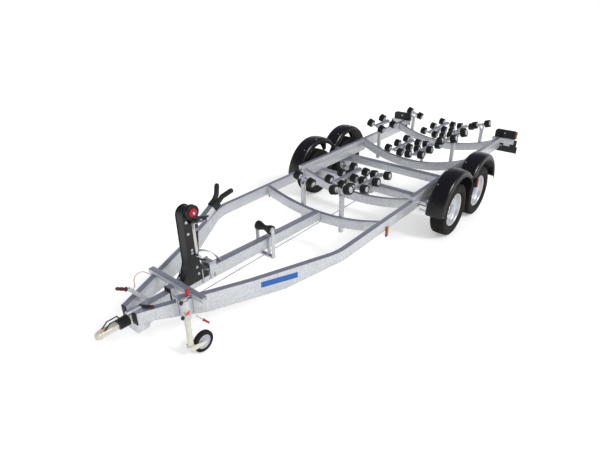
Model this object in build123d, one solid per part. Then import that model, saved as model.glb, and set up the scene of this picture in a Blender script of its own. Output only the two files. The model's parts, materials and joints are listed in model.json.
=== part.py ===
"""Twin-axle boat trailer with a tapered drawbar, winch post, jockey wheel and rocking roller cradles.

Frame: +Z up, floor at Z = 0, X = 0 is the centre plane, +X is the trailer's left side and the
coupling points to -Y. Lengths are millimetres. Lengthwise places are stations, measured from the
nose of the coupling towards the tail, and y_at() turns them into Y so that the overall box is
centred on the origin.
"""
import math
import os

from build123d import *

SIDES = (("left", 1), ("right", -1))

# ---------------------------------------------------------------- driving dimensions
# wheels and axles
tyre_radius = 307
tyre_width = 185
rim_flange_radius = 190
rim_width = 140
rim_seat_drop = 12
rim_well_radius = 160
rim_sheet = 6
rim_disc_offset = 26
rim_hub_radius = 72
tyre_sides = 48
tyre_seat_gap = 0.2
tyre_bead_gap = 10
hub_radius = 34
hub_bore_radius = 15.05
stub_radius = 15
wheel_track = 1950
front_hub_station = 3800
axle_spacing = 702
axle_tube = 90
axle_tube_lead = 125
swing_arm_thickness = 34
swing_arm_gap = 10
drum_radius = 110
drum_depth = 66

# side rails of the drawbar
rail_width = 55
rail_front_station = 290
rail_front_half = 96
rail_bend_station = 1874
rail_wheel_gap = 88.5
rail_bend_radius = 520
rail_rear_station = 4690
rail_nose_top = 505
rail_top = 536
rail_nose_depth = 155
rail_belly_depth = 200
rail_depth = 112
rail_nose_length = 110
rail_belly_start = 780
rail_belly_end = 1400
rail_ramp_start = 1150
rail_ramp_end = 1800
cap_thickness = 8

# raised rear rails
rear_rail_start = 3240
rear_rail_end = 5930
rear_rail_top = 592
rear_rail_bottom = 440

# centre beam
beam_half = 40
beam_front_station = 640
beam_level_end = 1100
beam_front_depth = 120
beam_rear_top = 438
beam_rear_depth = 100

# dipped cross-members
member_thickness = 50
member_depth = 105
front_member_station = 2600
middle_member_station = 3290
rear_member_station = 4655
tail_member_station = 5712
member_dip = 118
rear_member_dip = 160

# coupling, overrun housing and levers
coupling_height = 422
ball_radius = 25
ball_station = 33
head_radius = 33
head_half = 30
head_length = 140
head_height = 54
shaft_radius = 22
bellows_length = 88
bellows_radius = 46
bellows_waist = 36
bellows_ribs = 6
housing_half = 35
housing_height = 96
housing_drop = 44
housing_front_station = 268
cradle_plate_half = 84
cradle_plate_bottom = 298
cradle_plate_length = 100
handle_rod_radius = 5
handle_half = 19
handle_length = 130
handle_rise = 62
handle_ramp = 50
brake_lever_gap = 14
brake_lever_radius = 11
brake_grip_radius = 14
brake_pivot_station = 490
brake_pivot_height = 446
brake_elbow_station = 350
brake_elbow_height = 628
brake_tip_station = 248
brake_tip_height = 690
release_lift = 14
release_foot_station = 300
release_foot_length = 40

# breakaway cable from the brake lever to the clamp plate: X, station, Z
cable_diameter = 5
CABLE_ROUTE = (
    (-50, 378, 609.5),
    (-50, 405, 630),
    (-54, 399, 669),
    (-71, 424, 695),
    (-98, 462, 690),
    (-132, 508, 668),
    (-166, 552, 634),
    (-198, 594, 592),
    (-226, 630, 546),
    (-244, 656, 520),
    (-254, 677, 512),
)

# brake rod under the centre beam
brake_rod_radius = 5
brake_rod_shift = 20
brake_rod_height = 304
brake_lug_width = 40

# clamp plate across the drawbar
clamp_plate_station = 700
clamp_plate_near = 385
clamp_plate_far = 300
clamp_plate_width = 52
clamp_plate_height = 42
clamp_plate_wall = 6

# winch post, winch and bow stop
post_station = 700
post_foot_length = 300
post_foot_drop = 62
post_wall = 6
post_neck_width = 104
post_neck_lead = 112
post_lean = 44
post_neck_height = 135
post_head_radius = 92
post_head_height = 1032
winch_radius = 76
winch_width = 34
winch_lift = 14
winch_back = 8
winch_knob_radius = 32
winch_knob_depth = 12
stop_tube = 56
stop_arm_drop = 70
stop_arm_reach = 62
stop_tube_run = 150
stop_tube_rise = 92
pad_radius = 21
pad_spread = 107
pad_lift = 105
pad_back = 100
strap_width = 40
strap_thickness = 5
strap_length = 270
stay_width = 50
stay_thickness = 5
stay_reach = 165

# keel roller
keel_station = 1773
keel_height = 577
keel_length = 190
keel_end_radius = 46
keel_waist_radius = 27
keel_shaft_radius = 10
keel_bore_radius = 10.05
keel_leg_gap = 4
keel_leg_thickness = 6
keel_leg_width = 42
keel_leg_bottom = 274

# rollers of the cradles
roller_radius = 48
roller_width = 72
roller_shaft_radius = 10
roller_bore_radius = 10.05
cradle_half_track = 92
cradle_centre = 152
cradle_tilt = 8
cradle_arm_width = 36
cradle_arm_height = 40
pivot_radius = 12
pivot_bore_radius = 12.05
pivot_drop = 44
pivot_cheek = 8
pivot_cheek_gap = 3
pivot_cheek_length = 60
roller_end_gap = 6

# bar posts
post_bar = 40
post_tail_length = 90
bow_post_station = 2676
bow_pair_centre = 243
bow_pair_height = 724
bow_pair_tilt = 15
tail_post_station = 5788
tail_pair_inset = 213
tail_pair_height = 767
tail_pair_tilt = 17
outer_post_station = 4768
outer_inset = 217
outer_height = 830
outer_tilt = 19
outer_half_pitch = 156
post_head_drop = 60
post_head_rise = 20
spacer_radius = 14
spacer_gap = 2
washer_thickness = 4

# name, station, roller height, half pitch between the roller rows
CRADLES = (
    ("front", 3390, 564, 255),
    ("middle", 4756, 589, 258),
    ("tail", 5884, 580, 322),
)

# fenders
fender_radius = 462
fender_lift = 30
fender_sheet = 4
fender_width = 222
fender_shift = 13
fender_lip = 90
fender_end_height = 420
fender_bar = 34

# lamps, flaps, markers and the plate
lamp_inset = 104
lamp_bar_depth = 26
lamp_width = 285
lamp_bottom = 575
lamp_height = 118
lamp_depth = 60
lens_depth = 12
lens_edge = 12
side_lens_height = 50
flap_shift = 34
flap_width = 290
flap_height = 190
flap_sheet = 6
lamp_bar_height = 60
marker_width = 36
marker_height = 106
marker_depth = 16
marker_seat = 34
middle_marker_depth = 36
middle_marker_shift = 49
middle_marker_rise = 25
front_marker_station = 2700
plate_station = 1195
plate_length = 336
plate_height = 54
plate_drop = 34
plate_sheet = 2

# jockey wheel
jockey_station = 569
jockey_centre = 310
jockey_tube_radius = 24
jockey_bore_radius = 21
jockey_leg_radius = 20.95
jockey_clamp_bore = 24.05
jockey_tube_bottom = 150
jockey_tube_top = 580
jockey_clamp_bottom = 400
jockey_clamp_top = 572
jockey_clamp_wall = 10
jockey_leg_gap = 14
jockey_leg_top = 520
jockey_stem_radius = 11
jockey_stem_bore = 11.05
jockey_stem_length = 60
jockey_wheel_radius = 95
jockey_wheel_width = 48
jockey_rim_radius = 62
jockey_trail = 118
jockey_fork_plate = 5
jockey_fork_gap = 4
jockey_pin_radius = 6
jockey_pin_bore = 6.05
jockey_crank_reach = 35
jockey_crank_thickness = 8
jockey_crank_half = 12
jockey_knob_radius = 17
jockey_knob_height = 56

# ---------------------------------------------------------------- places worked out from them
tail_row_station = CRADLES[-1][1] + CRADLES[-1][3]
overall_length = tail_row_station + roller_radius
hub_height = tyre_radius
wheel_centre = wheel_track / 2
rear_hub_station = front_hub_station + axle_spacing
rail_outer_half = wheel_centre - tyre_width / 2 - rail_wheel_gap
rail_inner_half = rail_outer_half - rail_width
fender_centre = wheel_centre + fender_shift
lamp_inner = rail_outer_half - lamp_inset
outer_centre = rail_inner_half - outer_inset
tail_pair_centre = rail_inner_half - tail_pair_inset


def y_at(station):
    """Turn a station, measured from the coupling's nose, into Y."""
    return station - overall_length / 2


def block(x0, x1, y0, y1, z0, z1):
    """A box between two corners."""
    centre = Pos((x0 + x1) / 2, (y0 + y1) / 2, (z0 + z1) / 2)
    return centre * Box(abs(x1 - x0), abs(y1 - y0), abs(z1 - z0))


def rod(start, end, radius):
    """A round bar between two points."""
    run = Vector(*end) - Vector(*start)
    base = Plane(origin=start, z_dir=run)
    return base * Cylinder(radius, run.length, align=(Align.CENTER, Align.CENTER, Align.MIN))


def side_plane(x):
    """The plane at x whose local axes are Y and Z and whose normal is +X."""
    return Plane(origin=(x, 0, 0), x_dir=(0, 1, 0), z_dir=(1, 0, 0))


def side_plate(points, x0, x1):
    """A plate with the outline points (Y, Z), from x0 to x1."""
    face = make_face(Polyline(*points, close=True))
    return extrude(side_plane(x0) * face, x1 - x0)


def turned(points, centre):
    """A solid turned about the X line through centre, from (X, radius) points."""
    outline = [(centre[0] + x, radius) for x, radius in points]
    plane = Plane(origin=(0, centre[1], centre[2]), x_dir=(1, 0, 0), z_dir=(0, -1, 0))
    face = plane * make_face(Polyline(*outline, close=True))
    return revolve(face, Axis((0, centre[1], centre[2]), (1, 0, 0)), 360)


def faceted_ring(points, centre, sides):
    """A ring of flat facets about the X line through centre, from closed (X, apothem) points."""
    turn = 2 * math.pi / sides
    stretch = 1 / math.cos(turn / 2)
    spokes = []
    for index in range(sides):
        across = stretch * math.sin(turn * (index + 0.5))
        down = stretch * math.cos(turn * (index + 0.5))
        spokes.append([(centre[0] + x, centre[1] + r * across, centre[2] - r * down) for x, r in points])
    faces = []
    for here, there in zip(spokes, spokes[1:] + spokes[:1]):
        for index in range(len(points)):
            after = (index + 1) % len(points)
            corners = (here[index], here[after], there[after], there[index])
            faces.append(make_face(Polyline(*corners, close=True)))
    return Solid(Shell(faces))


def cord_tube(points, diameter):
    """A round cord: straight runs joined by arcs that are tangent to both."""
    corners = [Vector(*point) for point in points]
    runs = [after - before for before, after in zip(corners, corners[1:])]
    edges = []
    start = corners[0]
    for corner, before, after in zip(corners[1:-1], runs, runs[1:]):
        way_in = before.normalized()
        way_out = after.normalized()
        trim = 0.45 * min(before.length, after.length)
        half_turn = math.radians(way_in.get_angle(way_out)) / 2
        radius = trim / math.tan(half_turn)
        inwards = (way_out - way_in).normalized()
        first = corner - way_in * trim
        last = corner + way_out * trim
        middle = corner + inwards * (radius / math.cos(half_turn) - radius)
        edges.append(Line(start, first).edge())
        edges.append(ThreePointArc(first, middle, last).edge())
        start = last
        print("cord bend radius", round(radius, 1))
    edges.append(Line(start, corners[-1]).edge())
    section = Plane(origin=corners[0], z_dir=runs[0]) * Circle(diameter / 2)
    return sweep(section, path=Wire(edges))


def mirrored(solid, side):
    """The solid as it is for the left side, or its mirror image for the right."""
    return solid if side > 0 else mirror(solid, Plane.YZ)


# ---------------------------------------------------------------- drawbar rails
def rail_slope():
    """Angle of the slanted part of the left rail, seen from above, in radians."""
    return math.atan2(rail_outer_half - rail_front_half, rail_bend_station - rail_front_station)


def rail_outer_x(station):
    """X of the slanted outer face of the left rail at a station."""
    return rail_front_half + (station - rail_front_station) * math.tan(rail_slope())


def rail_plan():
    """Outline of the left rail seen from above: slanted, bent and then straight."""
    slope = rail_slope()
    across = rail_width / math.cos(slope)
    inner_shift = rail_width * math.tan(slope / 2)
    y0 = y_at(rail_front_station)
    y1 = y_at(rail_bend_station)
    y2 = y_at(rail_rear_station)
    outer = FilletPolyline((rail_front_half, y0), (rail_outer_half, y1), (rail_outer_half, y2),
                           radius=rail_bend_radius + rail_width)
    inner = FilletPolyline((rail_inner_half, y2), (rail_inner_half, y1 + inner_shift),
                           (rail_front_half - across, y0), radius=rail_bend_radius)
    rear = Line((rail_outer_half, y2), (rail_inner_half, y2))
    front = Line((rail_front_half - across, y0), (rail_front_half, y0))
    return make_face(outer.edges() + rear.edges() + inner.edges() + front.edges())


def rail_side_outline():
    """Side view of a rail: shallow nose, deep belly and then an even depth."""
    return (
        (y_at(rail_front_station), rail_nose_top),
        (y_at(rail_ramp_start), rail_nose_top),
        (y_at(rail_ramp_end), rail_top),
        (y_at(rail_rear_station), rail_top),
        (y_at(rail_rear_station), rail_top - rail_depth),
        (y_at(rail_ramp_end), rail_top - rail_depth),
        (y_at(rail_belly_end), rail_nose_top - rail_belly_depth),
        (y_at(rail_belly_start), rail_nose_top - rail_belly_depth),
        (y_at(rail_front_station + rail_nose_length), rail_nose_top - rail_nose_depth),
        (y_at(rail_front_station), rail_nose_top - rail_nose_depth),
    )


def drawbar_rail(side):
    plan = Plane.XY * rail_plan()
    bar = extrude(plan, rail_top)
    outline = side_plate(rail_side_outline(), 0, rail_outer_half)
    return mirrored(bar & outline, side)


def rail_face(station, height):
    """Plane on the slanted outer face of the left rail: X runs aft, Z points outwards."""
    slope = rail_slope()
    origin = (rail_outer_x(station), y_at(station), height)
    return Plane(origin=origin, x_dir=(math.sin(slope), math.cos(slope), 0),
                 z_dir=(math.cos(slope), -math.sin(slope), 0))


def end_caps():
    """Plastic caps on the front ends of both rails and of the centre beam."""
    across = rail_width / math.cos(rail_slope())
    y0 = y_at(rail_front_station)
    bottom = rail_nose_top - rail_nose_depth
    cap = block(rail_front_half - across, rail_front_half, y0 - cap_thickness, y0, bottom, rail_nose_top)
    yb = y_at(beam_front_station)
    middle = block(-beam_half, beam_half, yb - cap_thickness, yb,
                   rail_nose_top - beam_front_depth, rail_nose_top)
    return Compound([mirrored(cap, side) for _, side in SIDES] + [middle])


def rear_rail(side):
    """Raised rear rail: it lies on the drawbar rail and then runs on behind it at full depth."""
    step = y_at(rail_rear_station)
    outline = (
        (y_at(rear_rail_start), rail_top),
        (y_at(rear_rail_start), rear_rail_top),
        (y_at(rear_rail_end), rear_rail_top),
        (y_at(rear_rail_end), rear_rail_bottom),
        (step, rear_rail_bottom),
        (step, rail_top),
    )
    return mirrored(side_plate(outline, rail_inner_half, rail_outer_half), side)


def centre_beam():
    y0 = y_at(beam_front_station)
    y1 = y_at(beam_level_end)
    y2 = y_at(front_member_station)
    outline = (
        (y0, rail_nose_top),
        (y1, rail_nose_top),
        (y2, beam_rear_top),
        (y2, beam_rear_top - beam_rear_depth),
        (y1, rail_nose_top - beam_front_depth),
        (y0, rail_nose_top - beam_front_depth),
    )
    return side_plate(outline, -beam_half, beam_half)


# ---------------------------------------------------------------- cross-members
def member_top(x, end_top, dip):
    """Height of a dipped cross-member's top at x."""
    radius = (rail_inner_half ** 2 + dip ** 2) / (2 * dip)
    return end_top - dip + radius - math.sqrt(radius ** 2 - x ** 2)


def cross_member(station, end_top, dip):
    """A bar that dips in an even arc between the two rails."""
    half = rail_inner_half
    y1 = y_at(station + member_thickness)
    top = ThreePointArc((-half, end_top), (0, end_top - dip), (half, end_top))
    low = end_top - member_depth
    bottom = ThreePointArc((half, low), (0, low - dip), (-half, low))
    right = Line((half, end_top), (half, low))
    left = Line((-half, low), (-half, end_top))
    face = make_face(top.edges() + right.edges() + bottom.edges() + left.edges())
    plane = Plane(origin=(0, y1, 0), x_dir=(1, 0, 0), z_dir=(0, -1, 0))
    return extrude(plane * face, member_thickness)


# name, station of the front face, height of the ends, dip
MEMBERS = (
    ("front_cross_member", front_member_station, rail_top, member_dip),
    ("middle_cross_member", middle_member_station, rail_top, member_dip),
    ("rear_cross_member", rear_member_station, rear_rail_top, rear_member_dip),
    ("tail_cross_member", tail_member_station, rear_rail_top, rear_member_dip),
)


# ---------------------------------------------------------------- axles and wheels
def axle(hub_station):
    """Square axle tube with a trailing arm, brake drum and stub shaft at each end."""
    y_hub = y_at(hub_station)
    y_tube = y_hub - axle_tube_lead
    top = rail_top - rail_depth
    z_tube = top - axle_tube / 2
    arm_out = wheel_centre - tyre_width / 2 - swing_arm_gap
    arm_in = arm_out - swing_arm_thickness
    half = axle_tube / 2
    solid = block(-arm_in, arm_in, y_tube - half, y_tube + half, top - axle_tube, top)
    arm_outline = (
        (y_tube - half, z_tube + half),
        (y_tube + half, z_tube + half),
        (y_hub + half, hub_height + half),
        (y_hub + half, hub_height - half),
        (y_hub - half, hub_height - half),
        (y_tube - half, z_tube - half),
    )
    for _, side in SIDES:
        arm = side_plate(arm_outline, arm_in, arm_out)
        drum = rod((arm_out, y_hub, hub_height), (arm_out + drum_depth, y_hub, hub_height), drum_radius)
        tip = wheel_centre + rim_disc_offset + hub_bore_radius
        stub = rod((arm_out, y_hub, hub_height), (tip, y_hub, hub_height), stub_radius)
        solid += mirrored(arm + drum + stub, side)
    return solid


def front_axle():
    """Front axle with the lug below it that takes the brake rod."""
    y0 = y_at(front_hub_station) - axle_tube_lead - axle_tube / 2
    half = brake_lug_width / 2
    top = rail_top - rail_depth - axle_tube
    lug = block(brake_rod_shift - half, brake_rod_shift + half, y0, y0 + axle_tube,
                brake_rod_height - 2 * brake_rod_radius, top)
    return axle(front_hub_station) + lug


def tyre(side, hub_station):
    """Road tyre as a ring of flat facets, one of them flat on the floor."""
    half = tyre_width / 2
    bead = rim_width / 2 - tyre_bead_gap
    seat = rim_flange_radius - rim_seat_drop + tyre_seat_gap
    flange = rim_flange_radius + 3
    outer_side = (
        (bead, seat),
        (bead, flange),
        (half - 5, flange + 28),
        (half, flange + 54),
        (half - 5, tyre_radius - 30),
        (half - 17, tyre_radius - 11),
        (half - 40, tyre_radius),
    )
    section = outer_side + tuple((-x, radius) for x, radius in reversed(outer_side))
    return faceted_ring(section, (side * wheel_centre, y_at(hub_station), hub_height), tyre_sides)


def rim(side, hub_station):
    """Pressed rim: barrel with two flanges, dished disc and hub."""
    half = rim_width / 2
    seat = rim_flange_radius - rim_seat_drop
    sheet = rim_sheet
    disc = rim_disc_offset
    section = (
        (-half, rim_flange_radius),
        (-half + sheet, rim_flange_radius),
        (-half + sheet + 2, seat),
        (-half + 40, seat - 2),
        (-half + 50, rim_well_radius),
        (half - 50, rim_well_radius),
        (half - 40, seat - 2),
        (half - sheet - 2, seat),
        (half - sheet, rim_flange_radius),
        (half, rim_flange_radius),
        (half - 2, seat - sheet),
        (half - 36, seat - 2 - sheet),
        (half - 46, rim_well_radius - sheet),
        (disc + 12, rim_well_radius - sheet - 6),
        (disc + 14, rim_hub_radius + 36),
        (disc, rim_hub_radius),
        (disc, hub_radius),
        (disc + 30, hub_radius - 6),
        (disc + 30, 0),
        (disc + hub_bore_radius + 3, 0),
        (disc + hub_bore_radius + 3, hub_bore_radius),
        (disc - 46, hub_bore_radius),
        (disc - 46, hub_radius),
        (disc - sheet - 2, hub_radius),
        (disc - sheet - 2, rim_hub_radius),
        (disc + 14 - sheet - 2, rim_hub_radius + 36),
        (disc + 12 - sheet - 2, rim_well_radius - sheet - 6),
        (disc + 12 - sheet - 2, rim_well_radius - sheet),
        (-half + 46, rim_well_radius - sheet),
        (-half + 36, seat - 2 - sheet),
        (-half + 2, seat - sheet),
    )
    points = [(side * (wheel_centre + x), radius) for x, radius in section]
    return turned(points, (0, y_at(hub_station), hub_height))


# ---------------------------------------------------------------- fenders
def fender_section(shift):
    """Half of the fender's crowned outline as (X, drop) points, moved inwards by shift."""
    half = fender_width / 2 - shift
    return (
        (half, fender_lip),
        (half, 52 + shift),
        (half - 8, 30 + shift),
        (half - 30, 12 + shift),
        (half - 66, 3 + shift),
        (0, shift),
    )


def fender(hub_station, faces_tail):
    """One curved fender of the left side, cut where it meets its neighbour between the wheels."""
    y_hub = y_at(hub_station)
    z_hub = hub_height + fender_lift
    outer = fender_section(0)
    inner = fender_section(fender_sheet)
    section = outer + tuple((-x, drop) for x, drop in reversed(outer[:-1]))
    section += tuple((-x, drop) for x, drop in inner) + tuple((x, drop) for x, drop in reversed(inner[:-1]))
    points = [(fender_centre + x, fender_radius - drop) for x, drop in section]
    ring = turned(points, (0, y_hub, z_hub))
    reach = fender_radius + 1
    inward = axle_spacing / 2
    rear = inward if not faces_tail else reach
    front = reach if not faces_tail else inward
    keep = block(0, 2 * fender_centre, y_hub - front, y_hub + rear, fender_end_height, z_hub + reach)
    return ring & keep


def fenders(side):
    """Tandem fender of one side: two arcs joined between the wheels."""
    pair = fender(front_hub_station, False) + fender(rear_hub_station, True)
    return mirrored(pair, side)


def fender_bars():
    """Bars that carry the fenders: ahead of the wheels, behind them and between them."""
    x0 = rail_outer_half
    x1 = fender_centre - fender_width / 2
    z_hub = hub_height + fender_lift
    reach = fender_radius - fender_lip / 2
    z_bar = rail_top - rail_depth / 2
    run = math.sqrt(reach ** 2 - (z_bar - z_hub) ** 2)
    half = fender_bar / 2
    y_mid = y_at(front_hub_station + axle_spacing / 2)
    z_mid = z_hub + math.sqrt(reach ** 2 - (axle_spacing / 2) ** 2)
    solids = []
    for _, side in SIDES:
        y_front = y_at(front_hub_station) - run
        y_rear = y_at(rear_hub_station) + run
        front = block(x0, x1, y_front - half, y_front + half, z_bar - half, z_bar + half)
        rear = block(x0, x1, y_rear - half, y_rear + half, z_bar - half, z_bar + half)
        middle = block(x0, x1, y_mid - half, y_mid + half, rail_top - fender_bar, z_mid + half)
        solids += [mirrored(bar, side) for bar in (front, rear, middle)]
    return Compound(solids)


# ---------------------------------------------------------------- coupling and overrun
def coupling_head():
    """Ball socket head with its body and the sliding shaft behind it."""
    z = coupling_height
    y_ball = y_at(ball_station)
    y_back = y_ball + head_length
    dome = Pos(0, y_ball, z) * Sphere(head_radius)
    skirt = Pos(0, y_ball, z - head_radius / 4) * Cylinder(head_radius, head_radius / 2)
    body = block(-head_half, head_half, y_ball, y_back, z - head_height / 2, z + head_height / 2)
    body = fillet(body.edges().filter_by(Axis.Y), head_height / 5)
    shaft = rod((0, y_back - 1, z), (0, y_at(housing_front_station), z), shaft_radius)
    socket = Pos(0, y_ball, z) * Sphere(ball_radius)
    mouth = Pos(0, y_ball, z - head_radius) * Cylinder(ball_radius, 2 * head_radius)
    mouth = mouth & block(-head_radius, head_radius, y_ball - head_radius, y_ball + head_radius,
                          z - 2 * head_radius, z)
    lower = block(-2 * head_radius, 2 * head_radius, y_ball - 2 * head_radius, y_back,
                  z - 2 * head_radius, z - head_radius / 2)
    return dome + skirt + body + shaft - socket - mouth - lower


def coupling_handle():
    """Hoop that opens the ball socket: two legs and a cross grip behind."""
    y0 = y_at(ball_station) + head_radius
    y1 = y0 + handle_ramp
    y2 = y0 + handle_length
    z0 = coupling_height + head_height / 2 - handle_rod_radius
    z1 = coupling_height + handle_rise
    radius = handle_rod_radius
    solid = rod((-handle_half, y2, z1), (handle_half, y2, z1), radius)
    for x in (-handle_half, handle_half):
        solid += rod((x, y0, z0), (x, y1, z1), radius) + Pos(x, y1, z1) * Sphere(radius)
        solid += rod((x, y1, z1), (x, y2, z1), radius) + Pos(x, y2, z1) * Sphere(radius)
    return solid - coupling_head()


def bellows():
    """Ribbed rubber sleeve round the sliding shaft."""
    y1 = y_at(housing_front_station)
    y0 = y1 - bellows_length
    pitch = bellows_length / bellows_ribs
    points = [(y0, shaft_radius + 0.2)]
    for rib in range(bellows_ribs):
        points.append((y0 + rib * pitch, bellows_waist))
        points.append((y0 + (rib + 0.5) * pitch, bellows_radius))
    points.append((y1, bellows_waist))
    points.append((y1, shaft_radius + 0.2))
    plane = Plane(origin=(0, 0, coupling_height), x_dir=(0, 1, 0), z_dir=(1, 0, 0))
    face = plane * make_face(Polyline(*points, close=True))
    return revolve(face, Axis((0, 0, coupling_height), (0, 1, 0)), 360)


def overrun_housing():
    """Box of the overrun device, with the rounded carrier that holds it up under the rails."""
    y0 = y_at(housing_front_station)
    y1 = y_at(beam_front_station) - cap_thickness
    z0 = coupling_height - housing_drop
    box = block(-housing_half, housing_half, y0, y1, z0, z0 + housing_height)
    yc = y_at(rail_front_station)
    top = rail_nose_top - rail_nose_depth
    plate = block(-cradle_plate_half, cradle_plate_half, yc, yc + cradle_plate_length,
                  cradle_plate_bottom, top)
    plate = fillet(plate.edges().filter_by(Axis.Y).group_by(Axis.Z)[0], (top - cradle_plate_bottom) * 0.8)
    neck = block(-housing_half, housing_half, yc, yc + cradle_plate_length, top - 1, z0 + 1)
    return box + plate + neck


def brake_lever():
    """Parking brake lever beside the overrun housing, with a grip on its end."""
    x = -housing_half - brake_lever_gap
    reach = brake_grip_radius
    low = (x, y_at(brake_pivot_station), brake_pivot_height)
    high = (x, y_at(brake_elbow_station), brake_elbow_height)
    tip = (x, y_at(brake_tip_station), brake_tip_height)
    inner = (-housing_half, low[1], low[2])
    outer = (x - reach, low[1], low[2])
    pivot = rod(inner, outer, brake_grip_radius)
    arm = rod(low, high, brake_lever_radius) + Pos(*high) * Sphere(brake_lever_radius)
    return pivot + arm + rod(high, tip, brake_grip_radius)


def release_lever():
    """Short release lever of the coupling, on the front end of the left rail."""
    z = rail_nose_top + release_lift
    front = (rail_front_half - 50, y_at(release_foot_station - 60), z)
    middle = (rail_front_half - 38, y_at(release_foot_station + 58), z)
    back = (rail_front_half + 44, y_at(release_foot_station + 112), z)
    y0 = y_at(release_foot_station)
    foot = block(front[0], front[0] + 24, y0, y0 + release_foot_length, rail_nose_top, z)
    return rod(front, middle, 12) + Pos(*middle) * Sphere(13) + rod(middle, back, 13) + foot


def hand_levers():
    return Compound([brake_lever(), release_lever()])


def breakaway_cable():
    """Thin cable that loops from the brake lever's arm back to the clamp plate."""
    points = [(x, y_at(station), z) for x, station, z in CABLE_ROUTE]
    return cord_tube(points, cable_diameter) - clamp_plate() - brake_lever()


def clamp_plate():
    """Channel, open below, that lies across both rails and the centre beam."""
    y0 = y_at(clamp_plate_station) - clamp_plate_width / 2
    y1 = y0 + clamp_plate_width
    wall = clamp_plate_wall
    z0 = rail_nose_top
    z1 = z0 + clamp_plate_height
    outer = block(-clamp_plate_far, clamp_plate_near, y0, y1, z0, z1)
    inner = block(-clamp_plate_far, clamp_plate_near, y0 + wall, y1 - wall, z0, z1 - wall)
    return outer - inner


# ---------------------------------------------------------------- winch post
def post_outline():
    """Side view of the winch post: flared foot, narrow neck and round head."""
    foot = rail_nose_top
    y0 = y_at(post_station) + clamp_plate_width / 2
    y1 = y0 + post_foot_length
    neck0 = y0 + post_neck_lead
    neck1 = neck0 + post_neck_width
    z_neck = foot + post_neck_height
    z_low = foot - post_foot_drop
    head_y = (neck0 + neck1) / 2 + post_lean
    head0 = head_y - post_head_radius
    head1 = head_y + post_head_radius
    z_head = post_head_height
    third = (neck0 - y0) / 3
    return (
        Line((y0, z_low), (y0, foot - 24)).edges()
        + ThreePointArc((y0, foot - 24), (neck0 - third, foot + 44), (neck0, z_neck)).edges()
        + Line((neck0, z_neck), (head0, z_head)).edges()
        + ThreePointArc((head0, z_head), (head_y, z_head + post_head_radius), (head1, z_head)).edges()
        + Line((head1, z_head), (neck1, z_neck)).edges()
        + ThreePointArc((neck1, z_neck), (neck1 + third, foot + 34), (y1 - 40, foot + 6)).edges()
        + Line((y1 - 40, foot + 6), (y1, foot - 10)).edges()
        + Line((y1, foot - 10), (y1, z_low)).edges()
        + Line((y1, z_low), (y0, z_low)).edges()
    )


def post_head_y():
    y0 = y_at(post_station) + clamp_plate_width / 2
    return y0 + post_neck_lead + post_neck_width / 2 + post_lean


def winch_post():
    """Pressed post: two cheeks astride the centre beam, joined by a web above it."""
    face = make_face(post_outline())
    width = 2 * (beam_half + post_wall)
    whole = extrude(side_plane(-width / 2) * face, width)
    y_far = 2 * overall_length
    slot_low = block(-beam_half, beam_half, -y_far, y_far, 0, rail_nose_top)
    back = post_head_y() - post_lean
    pocket = block(-beam_half, beam_half, back, y_far, rail_nose_top, post_head_height - 60)
    return whole - slot_low - pocket


def winch():
    """Round winch case on the left cheek with its knob."""
    x0 = beam_half + post_wall
    y = post_head_y() + winch_back
    z = post_head_height + winch_lift
    case = rod((x0, y, z), (x0 + winch_width, y, z), winch_radius)
    knob = rod((x0 + winch_width, y, z), (x0 + winch_width + winch_knob_depth, y, z), winch_knob_radius)
    return case + knob


def winch_strap():
    """Strap held taut down the left cheek, from the winch to its eye."""
    x0 = beam_half + post_wall
    y = post_head_y() + winch_back
    z1 = post_head_height + winch_lift - winch_radius
    return block(x0, x0 + strap_thickness, y - strap_width / 2, y + strap_width / 2, z1 - strap_length, z1)


def post_stay():
    """Arched flat bar from the back of the post down to the centre beam."""
    y0 = post_head_y() - post_lean + post_neck_width / 2 - 10
    stay_station = post_station + clamp_plate_width / 2 + post_foot_length + stay_reach
    y1 = y_at(stay_station)
    z0 = rail_nose_top + 200
    z1 = beam_top_at(stay_station) - stay_thickness
    t = stay_thickness
    outer = ThreePointArc((y0, z0), (y0 + (y1 - y0) * 0.62, z1 + (z0 - z1) * 0.66), (y1, z1))
    inner = ThreePointArc((y1 - t, z1), (y0 + (y1 - y0) * 0.62 - t, z1 + (z0 - z1) * 0.66 - t), (y0, z0 - t))
    edges = outer.edges() + Line((y1, z1), (y1 - t, z1)).edges() + inner.edges()
    edges += Line((y0, z0 - t), (y0, z0)).edges()
    arch = extrude(side_plane(-stay_width / 2) * make_face(edges), stay_width)
    return arch - centre_beam()


def bow_stop_arm():
    """Short arm off the post's head with the square tube that carries the bow pads."""
    y0 = post_head_y() + post_head_radius - 24
    z0 = post_head_height - stop_arm_drop
    y1 = y0 + stop_arm_reach + 24
    half = stop_tube / 2
    arm = block(-half, half, y0, y1, z0 - 16, z0 + 16)
    y2 = y1 + stop_tube_run
    z2 = z0 + stop_tube_rise
    run = Vector(0, y2 - y1, z2 - z0)
    base = Plane(origin=(0, y1 - 12, z0 - 8), x_dir=(1, 0, 0), z_dir=run)
    tube = base * Box(stop_tube, stop_tube, run.length, align=(Align.CENTER, Align.CENTER, Align.MIN))
    return (arm + tube) - winch_post()


def bow_stop_pads():
    """Two rubber prongs in a V that take the boat's bow."""
    y0 = post_head_y() + post_head_radius + stop_arm_reach + stop_tube_run
    z0 = post_head_height - stop_arm_drop + stop_tube_rise
    solids = []
    for _, side in SIDES:
        foot = (side * (pad_radius + 1), y0 - 30, z0 - 10)
        knee = (side * (pad_radius + 14), y0 + pad_back * 0.2, z0 + pad_lift * 0.35)
        tip = (side * (pad_spread - pad_radius), y0 + pad_back * 0.75, z0 + pad_lift - pad_radius)
        prong = rod(foot, knee, pad_radius) + Pos(*knee) * Sphere(pad_radius)
        prong += rod(knee, tip, pad_radius) + Pos(*tip) * Sphere(pad_radius)
        solids.append(prong - bow_stop_arm())
    return Compound(solids)


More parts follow.
